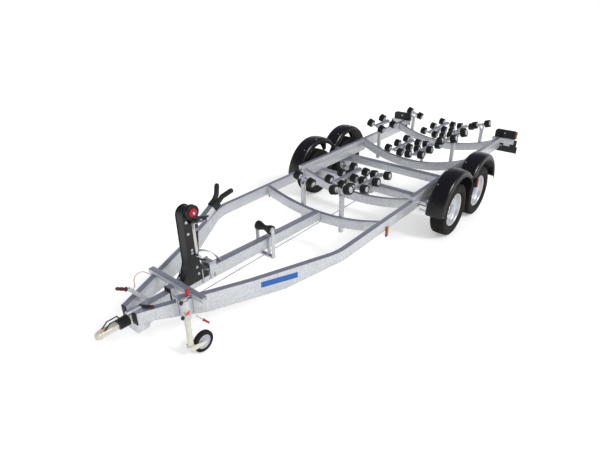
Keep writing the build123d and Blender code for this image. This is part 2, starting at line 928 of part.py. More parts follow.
# ---------------------------------------------------------------- keel roller
def beam_top_at(station):
    slope = (rail_nose_top - beam_rear_top) / (front_member_station - beam_level_end)
    return rail_nose_top - slope * max(0, station - beam_level_end)


def keel_bracket():
    """Two stems astride the centre beam, tied under it, with the keel roller's shaft."""
    y = y_at(keel_station)
    half = keel_leg_width / 2
    x0 = keel_length / 2 + keel_leg_gap
    x1 = x0 + keel_leg_thickness
    wall = keel_leg_thickness + 2
    tie_top = keel_leg_bottom + 20
    solid = block(-x1, x1, y - half, y + half, keel_leg_bottom, tie_top)
    for _, side in SIDES:
        leg = block(x0, x1, y - half, y + half, keel_leg_bottom, keel_height + half)
        cheek = block(beam_half, beam_half + wall, y - half, y + half,
                      keel_leg_bottom, beam_top_at(keel_station) - 12)
        solid += mirrored(leg + cheek, side)
    shaft = rod((-x1, y, keel_height), (x1, y, keel_height), keel_shaft_radius)
    return solid + shaft


def keel_roller():
    """Waisted rubber roller on the keel bracket's shaft."""
    half = keel_length / 2
    end = keel_end_radius
    waist = keel_waist_radius
    points = (
        (-half, keel_bore_radius),
        (-half, end),
        (-half * 0.72, end),
        (-half * 0.2, waist),
        (half * 0.2, waist),
        (half * 0.72, end),
        (half, end),
        (half, keel_bore_radius),
    )
    return turned(points, (0, y_at(keel_station), keel_height))


# ---------------------------------------------------------------- roller cradles
def tilt_plane(x, y, z, tilt):
    """Plane at a cradle's centre whose X runs outwards and up, at tilt degrees."""
    angle = math.radians(tilt)
    return Plane(origin=(x, y, z), x_dir=(math.cos(angle), 0, math.sin(angle)), z_dir=(-math.sin(angle), 0,
                 math.cos(angle)))


def roller_row(half_track):
    """Two rollers fixed on one shaft, in a cradle's own axes."""
    reach = half_track + roller_width / 2 + roller_end_gap
    solid = Rot(0, 90, 0) * Cylinder(roller_shaft_radius, 2 * reach)
    for _, side in SIDES:
        solid += Pos(side * half_track, 0, 0) * (Rot(0, 90, 0) * Cylinder(roller_radius, roller_width))
    return solid


def rocking_cradle(x, station, height, tilt, rows, half_track):
    """Cradle of the left side: a rocking arm with a roller pair at each row."""
    half_width = cradle_arm_width / 2
    reach = max(rows)
    drop = pivot_drop
    arm = Box(cradle_arm_width, 2 * reach + cradle_arm_height, cradle_arm_height)
    solid = arm
    for row in rows:
        solid += Pos(0, row, 0) * roller_row(half_track)
    lug = Pos(0, 0, -drop) * (Rot(0, 90, 0) * Cylinder(pivot_radius + 10, cradle_arm_width))
    lug += block(-half_width, half_width, -pivot_radius - 10, pivot_radius + 10, -drop, 0)
    bore = Pos(0, 0, -drop) * (Rot(0, 90, 0) * Cylinder(pivot_bore_radius, cradle_arm_width * 2))
    return tilt_plane(x, y_at(station), height, tilt) * (solid + lug - bore)


def pivot_fork(x, station, height, tilt):
    """Fork of the left side with the pin on which a cradle rocks, down to foot_drop below the pin."""
    half = cradle_arm_width / 2 + pivot_cheek_gap
    outer = half + pivot_cheek
    length = pivot_cheek_length / 2
    low = -pivot_drop - pivot_radius - 22
    solid = block(-outer, outer, -length, length, low - pivot_cheek, low)
    for side in (-1, 1):
        inner_x = side * half
        solid += block(min(inner_x, side * outer), max(inner_x, side * outer), -length, length,
                       low, -pivot_drop + pivot_radius + 4)
    pin = Pos(0, 0, -pivot_drop) * (Rot(0, 90, 0) * Cylinder(pivot_radius, 2 * outer))
    return tilt_plane(x, y_at(station), height, tilt) * (solid + pin)


def member_by_name(name):
    return {row[0]: row for row in MEMBERS}[name]


def fork_leg(x, station, height, tilt, member):
    """Upright bar from a cross-member's back face up to the underside of a fork."""
    _, front, end_top, dip = member
    face = front + member_thickness
    fork_low = -pivot_drop - pivot_radius - 22 - pivot_cheek
    plane = tilt_plane(x, y_at(station), height, tilt)
    foot = plane * (Pos(0, 0, fork_low) * Box(1, 1, 1))
    z_top = foot.center().Z + 4
    top = member_top(x, end_top, dip)
    y0 = y_at(face)
    y1 = y_at(station) + pivot_cheek_length / 2
    half = cradle_arm_width / 2
    z_low = top - member_depth + 10
    hook = block(foot.center().X - half, foot.center().X + half, y0, y0 + pivot_cheek, z_low, z_top)
    shelf = block(foot.center().X - half, foot.center().X + half, y0, y1, z_top - pivot_cheek, z_top)
    return hook + shelf


def cradle_forks():
    """Six forks behind the cross-members that carry the rocking cradles."""
    members = {"front": "middle_cross_member", "middle": "rear_cross_member", "tail": "tail_cross_member"}
    solids = []
    for name, station, height, _ in CRADLES:
        member = member_by_name(members[name])
        fork = pivot_fork(cradle_centre, station, height, cradle_tilt)
        leg = fork_leg(cradle_centre, station, height, cradle_tilt, member)
        solids += [mirrored(fork + leg, side) for _, side in SIDES]
    return Compound(solids)


def pair_rollers(side, x, station, height, tilt):
    """Two rollers, free on the pin of a bar post."""
    bored = Rot(0, 90, 0) * (Cylinder(roller_radius, roller_width) - Cylinder(roller_bore_radius, 2 * roller_width))
    pair = [Pos(hand * cradle_half_track, 0, 0) * bored for hand in (-1, 1)]
    plane = tilt_plane(x, y_at(station), height, tilt)
    return Compound([mirrored(plane * roller, side) for roller in pair])


def bar_post(x, station, height, tilt, bottom):
    """Square post with two cheeks on its head, between the rollers, and the pin through them."""
    half = post_bar / 2
    y = y_at(station)
    reach = cradle_half_track + roller_width / 2 + roller_end_gap
    spacer = cradle_half_track - roller_width / 2 - spacer_gap
    outer = half + pivot_cheek
    head = block(-outer, outer, -half, half, -post_head_drop - pivot_cheek, -post_head_drop)
    for hand in (-1, 1):
        cheek = Box(pivot_cheek, post_bar, post_head_drop + post_head_rise)
        head += Pos(hand * (half + pivot_cheek / 2), 0, (post_head_rise - post_head_drop) / 2) * cheek
        washer = Cylinder(spacer_radius, washer_thickness)
        head += Pos(hand * (reach + washer_thickness / 2), 0, 0) * (Rot(0, 90, 0) * washer)
    head += Rot(0, 90, 0) * Cylinder(roller_shaft_radius, 2 * reach)
    head += Rot(0, 90, 0) * Cylinder(spacer_radius, 2 * spacer)
    angle = math.radians(tilt)
    top = height - post_head_drop / math.cos(angle)
    x_post = x + post_head_drop * math.sin(angle)
    post = block(x_post - half, x_post + half, y - half, y + half, bottom, top)
    return tilt_plane(x, y, height, tilt) * head + post


def outer_post(x, station, height, tilt, bottom):
    """Square post whose top fork carries an outer rocking cradle."""
    half = post_bar / 2
    y = y_at(station)
    fork_drop = pivot_drop + pivot_radius + 22 + pivot_cheek / 2
    top = height - fork_drop * math.cos(math.radians(tilt))
    x_post = x + fork_drop * math.sin(math.radians(tilt))
    post = block(x_post - half, x_post + half, y - half, y + half, bottom, top)
    return pivot_fork(x, station, height, tilt) + post


def roller_posts():
    """Posts behind the front, rear and tail cross-members."""
    front = member_by_name("front_cross_member")
    rear = member_by_name("rear_cross_member")
    tail = member_by_name("tail_cross_member")
    solids = []
    # cross-member, post maker, centre, station, height, tilt
    rows = (
        (front, bar_post, bow_pair_centre, bow_post_station, bow_pair_height, bow_pair_tilt),
        (rear, outer_post, outer_centre, outer_post_station, outer_height, outer_tilt),
        (tail, bar_post, tail_pair_centre, tail_post_station, tail_pair_height, tail_pair_tilt),
    )
    for member, maker, x, station, height, tilt in rows:
        _, start, end_top, dip = member
        bottom = member_top(x, end_top, dip) - member_depth - post_tail_length
        post = maker(x, station, height, tilt, bottom)
        y0 = y_at(start + member_thickness)
        y1 = y_at(station) - post_bar / 2
        top = member_top(x, end_top, dip)
        clamp = block(x - post_bar, x + post_bar * 1.5, y0, y1 + 2, top - member_depth + 20, top - 20)
        solids += [mirrored(post + clamp, side) for _, side in SIDES]
    return Compound(solids)


# ---------------------------------------------------------------- lamps, flaps, markers, plate
def lamp_bars():
    """Brackets that carry the lamp housings off the ends of the rear rails."""
    y0 = y_at(rear_rail_end)
    x0 = rail_inner_half - 70
    x1 = lamp_inner + lamp_width
    bar = block(x0, x1, y0, y0 + lamp_bar_depth, lamp_bottom - lamp_bar_height, lamp_bottom + 12)
    return Compound([mirrored(bar, side) for _, side in SIDES])


def lamp_housings():
    y0 = y_at(rear_rail_end) + lamp_bar_depth
    x1 = lamp_inner + lamp_width
    case = block(lamp_inner, x1, y0, y0 + lamp_depth, lamp_bottom, lamp_bottom + lamp_height)
    case = fillet(case.edges().filter_by(Axis.Y).group_by(Axis.Z)[-1], lamp_height / 4)
    return Compound([mirrored(case, side) for _, side in SIDES])


def lamp_lenses():
    """Lenses on the back of the lamp housings, each turned round the housing's outer end."""
    y0 = y_at(rear_rail_end) + lamp_bar_depth
    y1 = y0 + lamp_depth
    x1 = lamp_inner + lamp_width
    z0 = lamp_bottom + lens_edge
    z1 = lamp_bottom + lamp_height - lens_edge
    lens = block(lamp_inner + lens_edge, x1 - lens_edge, y1, y1 + lens_depth, z0, z1)
    turn = block(x1 - lens_edge, x1 + lens_depth, y1, y1 + lens_depth, z0, z0 + side_lens_height)
    turn += block(x1, x1 + lens_depth, y0 + lens_edge, y1 + lens_depth, z0, z0 + side_lens_height)
    return Compound([mirrored(lens + turn, side) for _, side in SIDES])


def splash_flaps():
    y0 = y_at(rear_rail_end) + lamp_bar_depth
    x0 = lamp_inner + flap_shift
    flap = block(x0, x0 + flap_width, y0, y0 + flap_sheet, lamp_bottom - flap_height, lamp_bottom)
    return Compound([mirrored(flap, side) for _, side in SIDES])


def marker_lamps():
    """Amber side markers: one low on each rail and one on the fender between the wheels of each side."""
    half = marker_width / 2
    y_front = y_at(front_marker_station)
    y_mid = y_at(front_hub_station + axle_spacing / 2 + middle_marker_shift)
    low = rail_top - rail_depth - marker_height + marker_seat
    x0 = rail_outer_half
    outer = fender_centre + fender_width / 2
    depth = middle_marker_depth
    lip = fender_radius - fender_lip
    lip_low = hub_height + fender_lift + math.sqrt(lip ** 2 - (axle_spacing / 2) ** 2)
    z_mid = lip_low + middle_marker_rise
    solids = []
    for _, side in SIDES:
        front = block(x0, x0 + marker_depth, y_front - half, y_front + half, low, low + marker_height)
        middle = block(outer, outer + depth, y_mid - half, y_mid + half, z_mid, z_mid + marker_height)
        solids += [mirrored(front, side), mirrored(middle, side)]
    return Compound(solids)


def label_plate():
    """Blank plate on the outer face of the left rail."""
    face = rail_face(plate_station, rail_nose_top - plate_drop - plate_height / 2)
    sheet = Pos(plate_length / 2, 0, plate_sheet / 2) * Box(plate_length, plate_height, plate_sheet)
    return face * sheet


def brake_rod():
    """Thin rod from the overrun carrier back to the lug under the front axle."""
    y0 = y_at(rail_front_station) + cradle_plate_length
    y1 = y_at(front_hub_station) - axle_tube_lead - axle_tube / 2
    return rod((brake_rod_shift, y0, brake_rod_height), (brake_rod_shift, y1, brake_rod_height), brake_rod_radius)


# ---------------------------------------------------------------- jockey wheel
def jockey_clamp():
    """Clamp body between the left rail's outer face and the jockey tube."""
    x = jockey_centre
    y = y_at(jockey_station)
    radius = jockey_clamp_bore + jockey_clamp_wall
    z0 = jockey_clamp_bottom
    z1 = jockey_clamp_top
    ring = rod((x, y, z0), (x, y, z1), radius)
    slope = rail_slope()
    x_face = rail_outer_x(jockey_station)
    half = 36
    near = rail_face(jockey_station, 0)
    reach = (x - x_face) * math.cos(slope)
    shift = (x - x_face) * math.sin(slope)
    arm = near * (Pos(shift, (z0 + z1) / 2, reach / 2) * Box(2 * half, z1 - z0, reach))
    bore = rod((x, y, z0 - 1), (x, y, z1 + 1), jockey_clamp_bore)
    return ring + arm - bore


def jockey_tube():
    """Outer tube with a closed top, and the crank arm on it with its red knob."""
    x = jockey_centre
    y = y_at(jockey_station)
    half = jockey_crank_half
    tube = rod((x, y, jockey_tube_bottom), (x, y, jockey_tube_top), jockey_tube_radius)
    bore = rod((x, y, jockey_tube_bottom - 1), (x, y, jockey_tube_top - 8), jockey_bore_radius)
    y_knob = y + jockey_crank_reach
    z0 = jockey_tube_top
    z1 = z0 + jockey_crank_thickness
    crank = block(x - half, x + half, y - half, y_knob + half, z0 - 1, z1)
    knob = rod((x, y_knob, z1 - 1), (x, y_knob, z1 + jockey_knob_height), jockey_knob_radius)
    return tube - bore + crank + knob


def jockey_leg():
    """Inner tube that winds out of the outer tube, with the socket for the fork's stem."""
    x = jockey_centre
    y = y_at(jockey_station)
    low = jockey_tube_bottom - jockey_leg_gap
    leg = rod((x, y, low), (x, y, jockey_leg_top), jockey_leg_radius)
    socket = rod((x, y, low - 1), (x, y, low + jockey_stem_length + 2), jockey_stem_bore)
    return leg - socket


def jockey_fork():
    """Swivelling fork: stem, cap plate and two trailing arms with the wheel's pin."""
    x = jockey_centre
    y = y_at(jockey_station)
    low = jockey_tube_bottom - jockey_leg_gap - 1
    z_hub = jockey_wheel_radius
    half_in = jockey_wheel_width / 2 + jockey_fork_gap
    half_out = half_in + jockey_fork_plate
    y_hub = y + jockey_trail
    cap = block(x - half_out, x + half_out, y - 20, y + 22, low - 8, low)
    stem = rod((x, y, low - 1), (x, y, low + jockey_stem_length), jockey_stem_radius)
    solid = cap + stem
    outline = (
        (y - 20, low),
        (y + 22, low),
        (y_hub + 16, z_hub + 14),
        (y_hub + 16, z_hub - 14),
        (y_hub - 16, z_hub - 14),
        (y - 20, low - 44),
    )
    for hand in (-1, 1):
        x0 = x + hand * half_in
        x1 = x + hand * half_out
        solid += side_plate(outline, min(x0, x1), max(x0, x1))
    pin = rod((x - half_out - 4, y_hub, z_hub), (x + half_out + 4, y_hub, z_hub), jockey_pin_radius)
    return solid + pin


def jockey_tyre():
    """Solid rubber tyre of the jockey wheel as a ring of flat facets."""
    half = jockey_wheel_width / 2
    seat = jockey_rim_radius + tyre_seat_gap
    radius = jockey_wheel_radius
    outer_side = (
        (half - 6, seat),
        (half, seat + 8),
        (half, radius - 14),
        (half - 8, radius - 3),
        (half - 16, radius),
    )
    section = outer_side + tuple((-x, reach) for x, reach in reversed(outer_side))
    centre = (jockey_centre, y_at(jockey_station) + jockey_trail, jockey_wheel_radius)
    return faceted_ring(section, centre, tyre_sides // 2)


def jockey_rim():
    half = jockey_wheel_width / 2
    radius = jockey_rim_radius
    points = (
        (-half + 2, jockey_pin_bore),
        (-half + 2, 18),
        (-8, 22),
        (-8, radius - 10),
        (-half + 6, radius - 6),
        (-half + 6, radius),
        (half - 6, radius),
        (half - 6, radius - 6),
        (8, radius - 10),
        (8, 22),
        (half - 2, 18),
        (half - 2, jockey_pin_bore),
    )
    return turned([(jockey_centre + x, r) for x, r in points],
                  (0, y_at(jockey_station) + jockey_trail, jockey_wheel_radius))


# ---------------------------------------------------------------- all nodes
def nodes():
    """Every sub-part by its node name."""
    parts = {
        "coupling_head": coupling_head(),
        "coupling_handle": coupling_handle(),
        "shaft_bellows": bellows(),
        "overrun_housing": overrun_housing(),
        "hand_levers": hand_levers(),
        "breakaway_cable": breakaway_cable(),
        "end_caps": end_caps(),
        "centre_beam": centre_beam(),
        "clamp_plate": clamp_plate(),
        "cross_members": Compound([cross_member(*row[1:]) for row in MEMBERS]),
        "drawbar_rails": Compound([drawbar_rail(side) for _, side in SIDES]),
        "rear_rails": Compound([rear_rail(side) for _, side in SIDES]),
        "fenders": Compound([fenders(side) for _, side in SIDES]),
        "front_axle": front_axle(),
        "rear_axle": axle(rear_hub_station),
        "fender_bars": fender_bars(),
        "winch_post": winch_post(),
        "winch": winch(),
        "winch_strap": winch_strap(),
        "post_stay": post_stay(),
        "bow_stop_arm": bow_stop_arm(),
        "bow_stop_pads": bow_stop_pads(),
        "keel_bracket": keel_bracket(),
        "keel_roller": keel_roller(),
        "cradle_forks": cradle_forks(),
        "roller_posts": roller_posts(),
        "lamp_bars": lamp_bars(),
        "lamp_housings": lamp_housings(),
        "lamp_lenses": lamp_lenses(),
        "splash_flaps": splash_flaps(),
        "marker_lamps": marker_lamps(),
        "label_plate": label_plate(),
        "brake_rod": brake_rod(),
        "jockey_clamp": jockey_clamp(),
        "jockey_tube": jockey_tube(),
        "jockey_leg": jockey_leg(),
        "jockey_fork": jockey_fork(),
        "jockey_tyre": jockey_tyre(),
        "jockey_rim": jockey_rim(),
    }
    for label, side in SIDES:
        parts[f"front_tyre_{label}"] = tyre(side, front_hub_station)
        parts[f"front_rim_{label}"] = rim(side, front_hub_station)
        parts[f"rear_tyre_{label}"] = tyre(side, rear_hub_station)
        parts[f"rear_rim_{label}"] = rim(side, rear_hub_station)
        for name, station, height, pitch in CRADLES:
            cradle = rocking_cradle(cradle_centre, station, height, cradle_tilt, (-pitch, 0, pitch),
                                    cradle_half_track)
            parts[f"{name}_cradle_{label}"] = mirrored(cradle, side)
        outer = rocking_cradle(outer_centre, outer_post_station, outer_height, outer_tilt,
                               (-outer_half_pitch, outer_half_pitch), cradle_half_track)
        parts[f"outer_cradle_{label}"] = mirrored(outer, side)
        parts[f"bow_rollers_{label}"] = pair_rollers(side, bow_pair_centre, bow_post_station,
                                                     bow_pair_height, bow_pair_tilt)
        parts[f"tail_rollers_{label}"] = pair_rollers(side, tail_pair_centre, tail_post_station,
                                                      tail_pair_height, tail_pair_tilt)
    return parts


os.makedirs("parts", exist_ok=True)
for node, shape in nodes().items():
    shape.label = node
    export_step(shape, f"parts/{node}.step")
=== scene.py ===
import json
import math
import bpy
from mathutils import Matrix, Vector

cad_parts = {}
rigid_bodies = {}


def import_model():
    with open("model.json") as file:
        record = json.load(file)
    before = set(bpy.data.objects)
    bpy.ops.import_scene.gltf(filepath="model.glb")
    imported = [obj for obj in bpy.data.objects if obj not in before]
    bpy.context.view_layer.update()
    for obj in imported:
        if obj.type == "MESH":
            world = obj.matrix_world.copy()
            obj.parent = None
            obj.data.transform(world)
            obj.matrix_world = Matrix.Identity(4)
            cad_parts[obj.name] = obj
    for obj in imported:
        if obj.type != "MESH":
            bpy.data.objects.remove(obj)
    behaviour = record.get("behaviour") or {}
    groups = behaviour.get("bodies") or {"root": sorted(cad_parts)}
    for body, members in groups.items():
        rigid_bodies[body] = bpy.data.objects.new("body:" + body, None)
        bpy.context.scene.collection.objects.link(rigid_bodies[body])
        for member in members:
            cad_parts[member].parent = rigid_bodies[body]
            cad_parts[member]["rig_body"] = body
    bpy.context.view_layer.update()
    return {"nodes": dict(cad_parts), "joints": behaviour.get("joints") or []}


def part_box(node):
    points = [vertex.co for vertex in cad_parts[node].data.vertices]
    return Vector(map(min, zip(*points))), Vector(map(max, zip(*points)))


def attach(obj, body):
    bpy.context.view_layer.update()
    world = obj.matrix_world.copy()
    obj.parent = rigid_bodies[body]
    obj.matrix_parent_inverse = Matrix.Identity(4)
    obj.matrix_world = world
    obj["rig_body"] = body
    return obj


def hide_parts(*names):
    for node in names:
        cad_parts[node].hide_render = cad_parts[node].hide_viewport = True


bl_info = {
    "name": "Boat Trailer Dressing",
    "version": (1, 0, 0),
    "blender": (4, 5, 0),
    "location": "View3D > Sidebar > Trailer",
    "description": "Dresses the packed boat trailer and sets up its studio stage",
    "category": "Object",
}

import bmesh
import bpy
from mathutils import Matrix, Vector

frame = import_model()

# ---------------------------------------------------------------- places taken from the frame
NOSE_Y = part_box("coupling_head")[0].y
JOINTS = {joint["name"]: joint for joint in frame["joints"]}
SIDES = (("left", 1), ("right", -1))
X_AXIS = Vector((1, 0, 0))
Y_AXIS = Vector((0, 1, 0))
Z_AXIS = Vector((0, 0, 1))


def y_at(station):
    """Y of a place station metres behind the coupling's nose."""
    return NOSE_Y + station


def spot(x, station, z):
    """A place given by its distance behind the coupling's nose."""
    return Vector((x, y_at(station), z))


def joint_place(name):
    """Where a joint's axis runs: a point on it and its direction, as vectors."""
    joint = JOINTS[name]
    return Vector(joint["pos_m"]), Vector(joint["axis"]).normalized()


RAIL_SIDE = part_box("drawbar_rails")[1].x
BEAM_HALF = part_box("centre_beam")[1].x
POST_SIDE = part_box("winch_post")[1].x
WHEEL_CENTRE = joint_place("front_wheel_left_spin")[0]
REAR_CENTRE = joint_place("rear_wheel_left_spin")[0]


# ---------------------------------------------------------------- sizes and colours a user may change
def linear(hex_colour):
    """Turn an sRGB hex colour into linear RGBA."""
    channels = [int(hex_colour[i:i + 2], 16) / 255 for i in (1, 3, 5)]
    return tuple(c / 12.92 if c <= 0.04045 else ((c + 0.055) / 1.055) ** 2.4 for c in channels) + (1.0,)


def length_prop(name, description, default):
    return bpy.props.FloatProperty(name=name, description=description, default=default, min=0.0,
                                   unit="LENGTH")


def colour_prop(name, description, default):
    return bpy.props.FloatVectorProperty(name=name, description=description, subtype="COLOR", size=4,
                                         min=0.0, max=1.0, default=linear(default))


class TrailerSizes(bpy.types.PropertyGroup):
    """Sizes of the dressing pieces."""
    bolt_radius: length_prop("Bolt head radius", "Half of a frame bolt's hexagon across its corners", 0.0105)
    bolt_height: length_prop("Bolt head height", "How far a frame bolt's head stands up", 0.008)
    u_bolt_radius: length_prop("U-bolt rod radius", "Rod of the U-bolts that clamp the frame", 0.005)
    tread_depth: length_prop("Tread depth", "Depth of the grooves in a road tyre", 0.008)
    tread_pitch: length_prop("Tread pitch", "Length of one tread block round the tyre", 0.034)
    roller_groove: length_prop("Roller groove", "Depth of the grooves round a roller", 0.003)
    fender_sheet: length_prop("Fender wall", "Thickness of the moulded fender", 0.004)


class TrailerColours(bpy.types.PropertyGroup):
    """Main colours of the finishes."""
    zinc: colour_prop("Zinc", "Hot-dip galvanised steel", "#D9DCE0")
    # painted reflection: the bluish grey that zinc faces looking up are tinted towards, standing in for the
    # grey ceiling they reflect
    painted_top_reflection: colour_prop("Weathered zinc", "Dull zinc patina on faces that look up", "#74778C")
    plastic: colour_prop("Fender plastic", "Moulded polyethylene of the fenders", "#0C0C0E")
    paint: colour_prop("Post paint", "Powder coat of the winch post", "#0E0E0F")
    rubber: colour_prop("Tyre rubber", "Rubber of the road tyres", "#151413")
    roller: colour_prop("Roller rubber", "Rubber of the keel and cradle rollers", "#131314")
    hub: colour_prop("Roller hub", "Nylon end of a roller", "#C9CBD0")
    rim: colour_prop("Rim paint", "Silver paint of the wheel rims", "#D3D5D9")
    passivate: colour_prop("Yellow zinc", "Passivated zinc plating of the jockey wheel", "#E2DFD0")
    red: colour_prop("Red plastic", "Knobs and lever tips", "#B81C2C")
    amber: colour_prop("Amber lens", "Side markers", "#E07A1E")
    blue: colour_prop("Blue plate", "Blank plate on the rail", "#1F5FAE")


# ---------------------------------------------------------------- node and material helpers
WHITE = (1.0, 1.0, 1.0, 1.0)


def feed(tree, node, inputs):
    """Give each named socket of a node its value, or a link from the socket that feeds it."""
    for name, value in inputs.items():
        socket = node.inputs[name]
        if isinstance(value, bpy.types.NodeSocket):
            tree.links.new(value, socket)
        else:
            socket.default_value = value


def add_node(tree, kind, inputs=None, **settings):
    """Add a node with its settings and links, and return its outputs."""
    node = tree.nodes.new(kind)
    for name, value in settings.items():
        setattr(node, name, value)
    feed(tree, node, inputs or {})
    return node.outputs


def per_metre(millimetres):
    """Pattern cells per metre for a cell of that real size."""
    return 1000.0 / millimetres


def shade(colour, factor):
    return tuple(min(1.0, c * factor) for c in colour[:3]) + (1.0,)


def start_material(name, colour, roughness, metallic=0.0):
    """A principled material and the place socket its patterns read."""
    material = bpy.data.materials.new(name)
    material.use_nodes = True
    tree = material.node_tree
    shader = tree.nodes["Principled BSDF"]
    feed(tree, shader, {"Base Color": colour, "Roughness": roughness, "Metallic": metallic})
    return material, tree, shader, add_node(tree, "ShaderNodeTexCoord")["Object"]


def clouded(name, colour, roughness, metallic, drift, tones, gloss=None, grit=None, extra=None):
    """A surface whose tone and gloss drift together over fine grit.

    drift is the size in millimetres and the detail of the cloud, tones are the colours at its two ends, gloss
    the roughness there, grit the size in millimetres, detail, height and strength of the relief, and extra
    holds further values of the shader.
    """
    material, tree, shader, place = start_material(name, colour, roughness, metallic)
    cloud = add_node(tree, "ShaderNodeTexNoise", {
        "Vector": place, "Scale": per_metre(drift[0]), "Detail": drift[1]})["Fac"]
    tone = add_node(tree, "ShaderNodeMixRGB", {"Fac": cloud, "Color1": tones[0], "Color2": tones[1]})
    feed(tree, shader, {"Base Color": tone["Color"], **(extra or {})})
    if gloss:
        low, high = gloss
        spread = add_node(tree, "ShaderNodeMapRange", {"Value": cloud, "To Min": low, "To Max": high})
        feed(tree, shader, {"Roughness": spread["Result"]})
    if grit:
        size, detail, height, strength = grit
        grain = add_node(tree, "ShaderNodeTexNoise", {
            "Vector": place, "Scale": per_metre(size), "Detail": detail})
        bump = add_node(tree, "ShaderNodeBump", {
            "Height": grain["Fac"], "Distance": height, "Strength": strength})
        feed(tree, shader, {"Normal": bump["Normal"]})
    return material


# ---------------------------------------------------------------- finishes
def hot_dip_zinc(colours):
    """Hot-dip galvanised steel: crystals of 12 mm in slightly different greys; faces that look up are tinted
    bluish grey, a painted reflection of the grey ceiling.
    """
    zinc = colours.zinc
    material, tree, shader, place = start_material("hot_dip_galvanised_steel", zinc, 0.4, 0.55)
    spangle = add_node(tree, "ShaderNodeTexVoronoi", {"Vector": place, "Scale": per_metre(12)})
    grain = add_node(tree, "ShaderNodeSeparateColor", {"Color": spangle["Color"]})
    cloud = add_node(tree, "ShaderNodeTexNoise", {"Vector": place, "Scale": per_metre(160), "Detail": 4.0})
    crystal = add_node(tree, "ShaderNodeMixRGB", {
        "Fac": grain["Red"], "Color1": shade(zinc, 0.84), "Color2": shade(zinc, 1.05)})
    stain = add_node(tree, "ShaderNodeMapRange", {
        "Value": cloud["Fac"], "From Min": 0.45, "From Max": 0.75, "To Min": 0.0, "To Max": 0.35})
    dulled = add_node(tree, "ShaderNodeMixRGB", {
        "Fac": stain["Result"], "Color1": crystal["Color"], "Color2": shade(zinc, 0.72)})
    # painted reflection: faces that look up are tinted up to three quarters of the way towards the bluish
    # grey of the ceiling they reflect
    facing = add_node(tree, "ShaderNodeNewGeometry")
    up = add_node(tree, "ShaderNodeSeparateXYZ", {"Vector": facing["Normal"]})
    painted_reflection_share = add_node(tree, "ShaderNodeMapRange", {
        "Value": up["Z"], "From Min": 0.55, "From Max": 0.95, "To Min": 0.0, "To Max": 0.75})
    tone = add_node(tree, "ShaderNodeMixRGB", {
        "Fac": painted_reflection_share["Result"], "Color1": dulled["Color"], "Color2": colours.painted_top_reflection})
    gloss = add_node(tree, "ShaderNodeMapRange", {"Value": grain["Green"], "To Min": 0.3, "To Max": 0.46})
    bump = add_node(tree, "ShaderNodeBump", {"Height": cloud["Fac"], "Distance": 0.0006, "Strength": 0.3})
    feed(tree, shader, {"Base Color": tone["Color"], "Roughness": gloss["Result"], "Normal": bump["Normal"]})
    return material


def bright_zinc(colours):
    """Zinc-plated fasteners: smooth and bright, with faint tarnish."""
    tones = shade(colours.zinc, 0.7), shade(colours.zinc, 1.1)
    return clouded("bright_zinc_plate", colours.zinc, 0.25, 0.9, (6, 3.0), tones, (0.2, 0.36))


def yellow_zinc(colours):
    """Yellow passivated zinc plate: a pale cream metal with faint blotches."""
    tones = shade(colours.passivate, 0.78), shade(colours.passivate, 1.12)
    return clouded("yellow_passivated_zinc", colours.passivate, 0.34, 0.35, (30, 4.0), tones, (0.26, 0.44))


def cast_zinc(colours):
    """Plated casting: pale and blotched, with sand-mould grit drawn 4 mm wide so that it shows."""
    tones = shade(colours.passivate, 0.62), shade(colours.passivate, 1.15)
    return clouded("plated_casting", colours.passivate, 0.42, 0.45, (35, 2.0), tones,
                   grit=(4, 5.0, 0.0008, 0.5))


def moulded_black(name, colour, roughness, grain, depth):
    """Moulded black plastic or coated steel: even colour, faint grain and a soft gloss."""
    tones = shade(colour, 0.75), shade(colour, 1.5)
    gloss = roughness * 0.85, roughness * 1.2
    return clouded(name, colour, roughness, 0.0, (120, 3.0), tones, gloss, (grain, 4.0, depth, 0.35))


def plain_plastic(name, colour, roughness):
    """Moulded plastic: even colour with a faint flow pattern."""
    tones = shade(colour, 0.85), shade(colour, 1.1)
    return clouded(name, colour, roughness, 0.0, (18, 2.0), tones, (roughness * 0.85, roughness * 1.25))


def tyre_rubber(colours):
    """Vulcanised rubber: matt near-black, browner where it is dusty, its pores drawn 3 mm wide to show."""
    tones = shade(colours.rubber, 0.65), linear("#26221F")
    return clouded("vulcanised_rubber", colours.rubber, 0.72, 0.0, (70, 5.0), tones, (0.62, 0.85),
                   (3, 3.0, 0.0005, 0.4), {"Specular IOR Level": 0.25})


def silver_paint(colours):
    """Silver wheel enamel: metal flake under a thin clear coat, drawn 2 mm wide so that it shows."""
    material, tree, shader, place = start_material("silver_wheel_enamel", colours.rim, 0.34, 0.5)
    flake = add_node(tree, "ShaderNodeTexVoronoi", {"Vector": place, "Scale": per_metre(2)})
    value = add_node(tree, "ShaderNodeSeparateColor", {"Color": flake["Color"]})
    tone = add_node(tree, "ShaderNodeMixRGB", {
        "Fac": value["Red"], "Color1": shade(colours.rim, 0.88), "Color2": shade(colours.rim, 1.08)})
    feed(tree, shader, {"Base Color": tone["Color"], "Coat Weight": 0.3})
    return material


def ridged(name, colour, roughness, pitch, direction, distortion, tones, strength, extra):
    """A surface with parallel ridges a pitch in millimetres apart, 0.6 mm high."""
    material, tree, shader, place = start_material(name, colour, roughness)
    ridges = add_node(tree, "ShaderNodeTexWave", {
        "Vector": place, "Scale": per_metre(pitch) / math.pi, "Distortion": distortion},
        bands_direction=direction)["Fac"]
    tone = add_node(tree, "ShaderNodeMixRGB", {"Fac": ridges, "Color1": tones[0], "Color2": tones[1]})
    bump = add_node(tree, "ShaderNodeBump", {"Height": ridges, "Distance": 0.0006, "Strength": strength})
    feed(tree, shader, {"Base Color": tone["Color"], "Normal": bump["Normal"], **extra})
    return material


def clear_lens(name, colour):
    """Moulded acrylic lens: saturated colour and prism ribs 4 mm apart."""
    return ridged(name, colour, 0.16, 4, "Z", 0.0, (shade(colour, 0.8), shade(colour, 1.15)), 0.5,
                  {"Coat Weight": 0.5, "Subsurface Weight": 0.1})


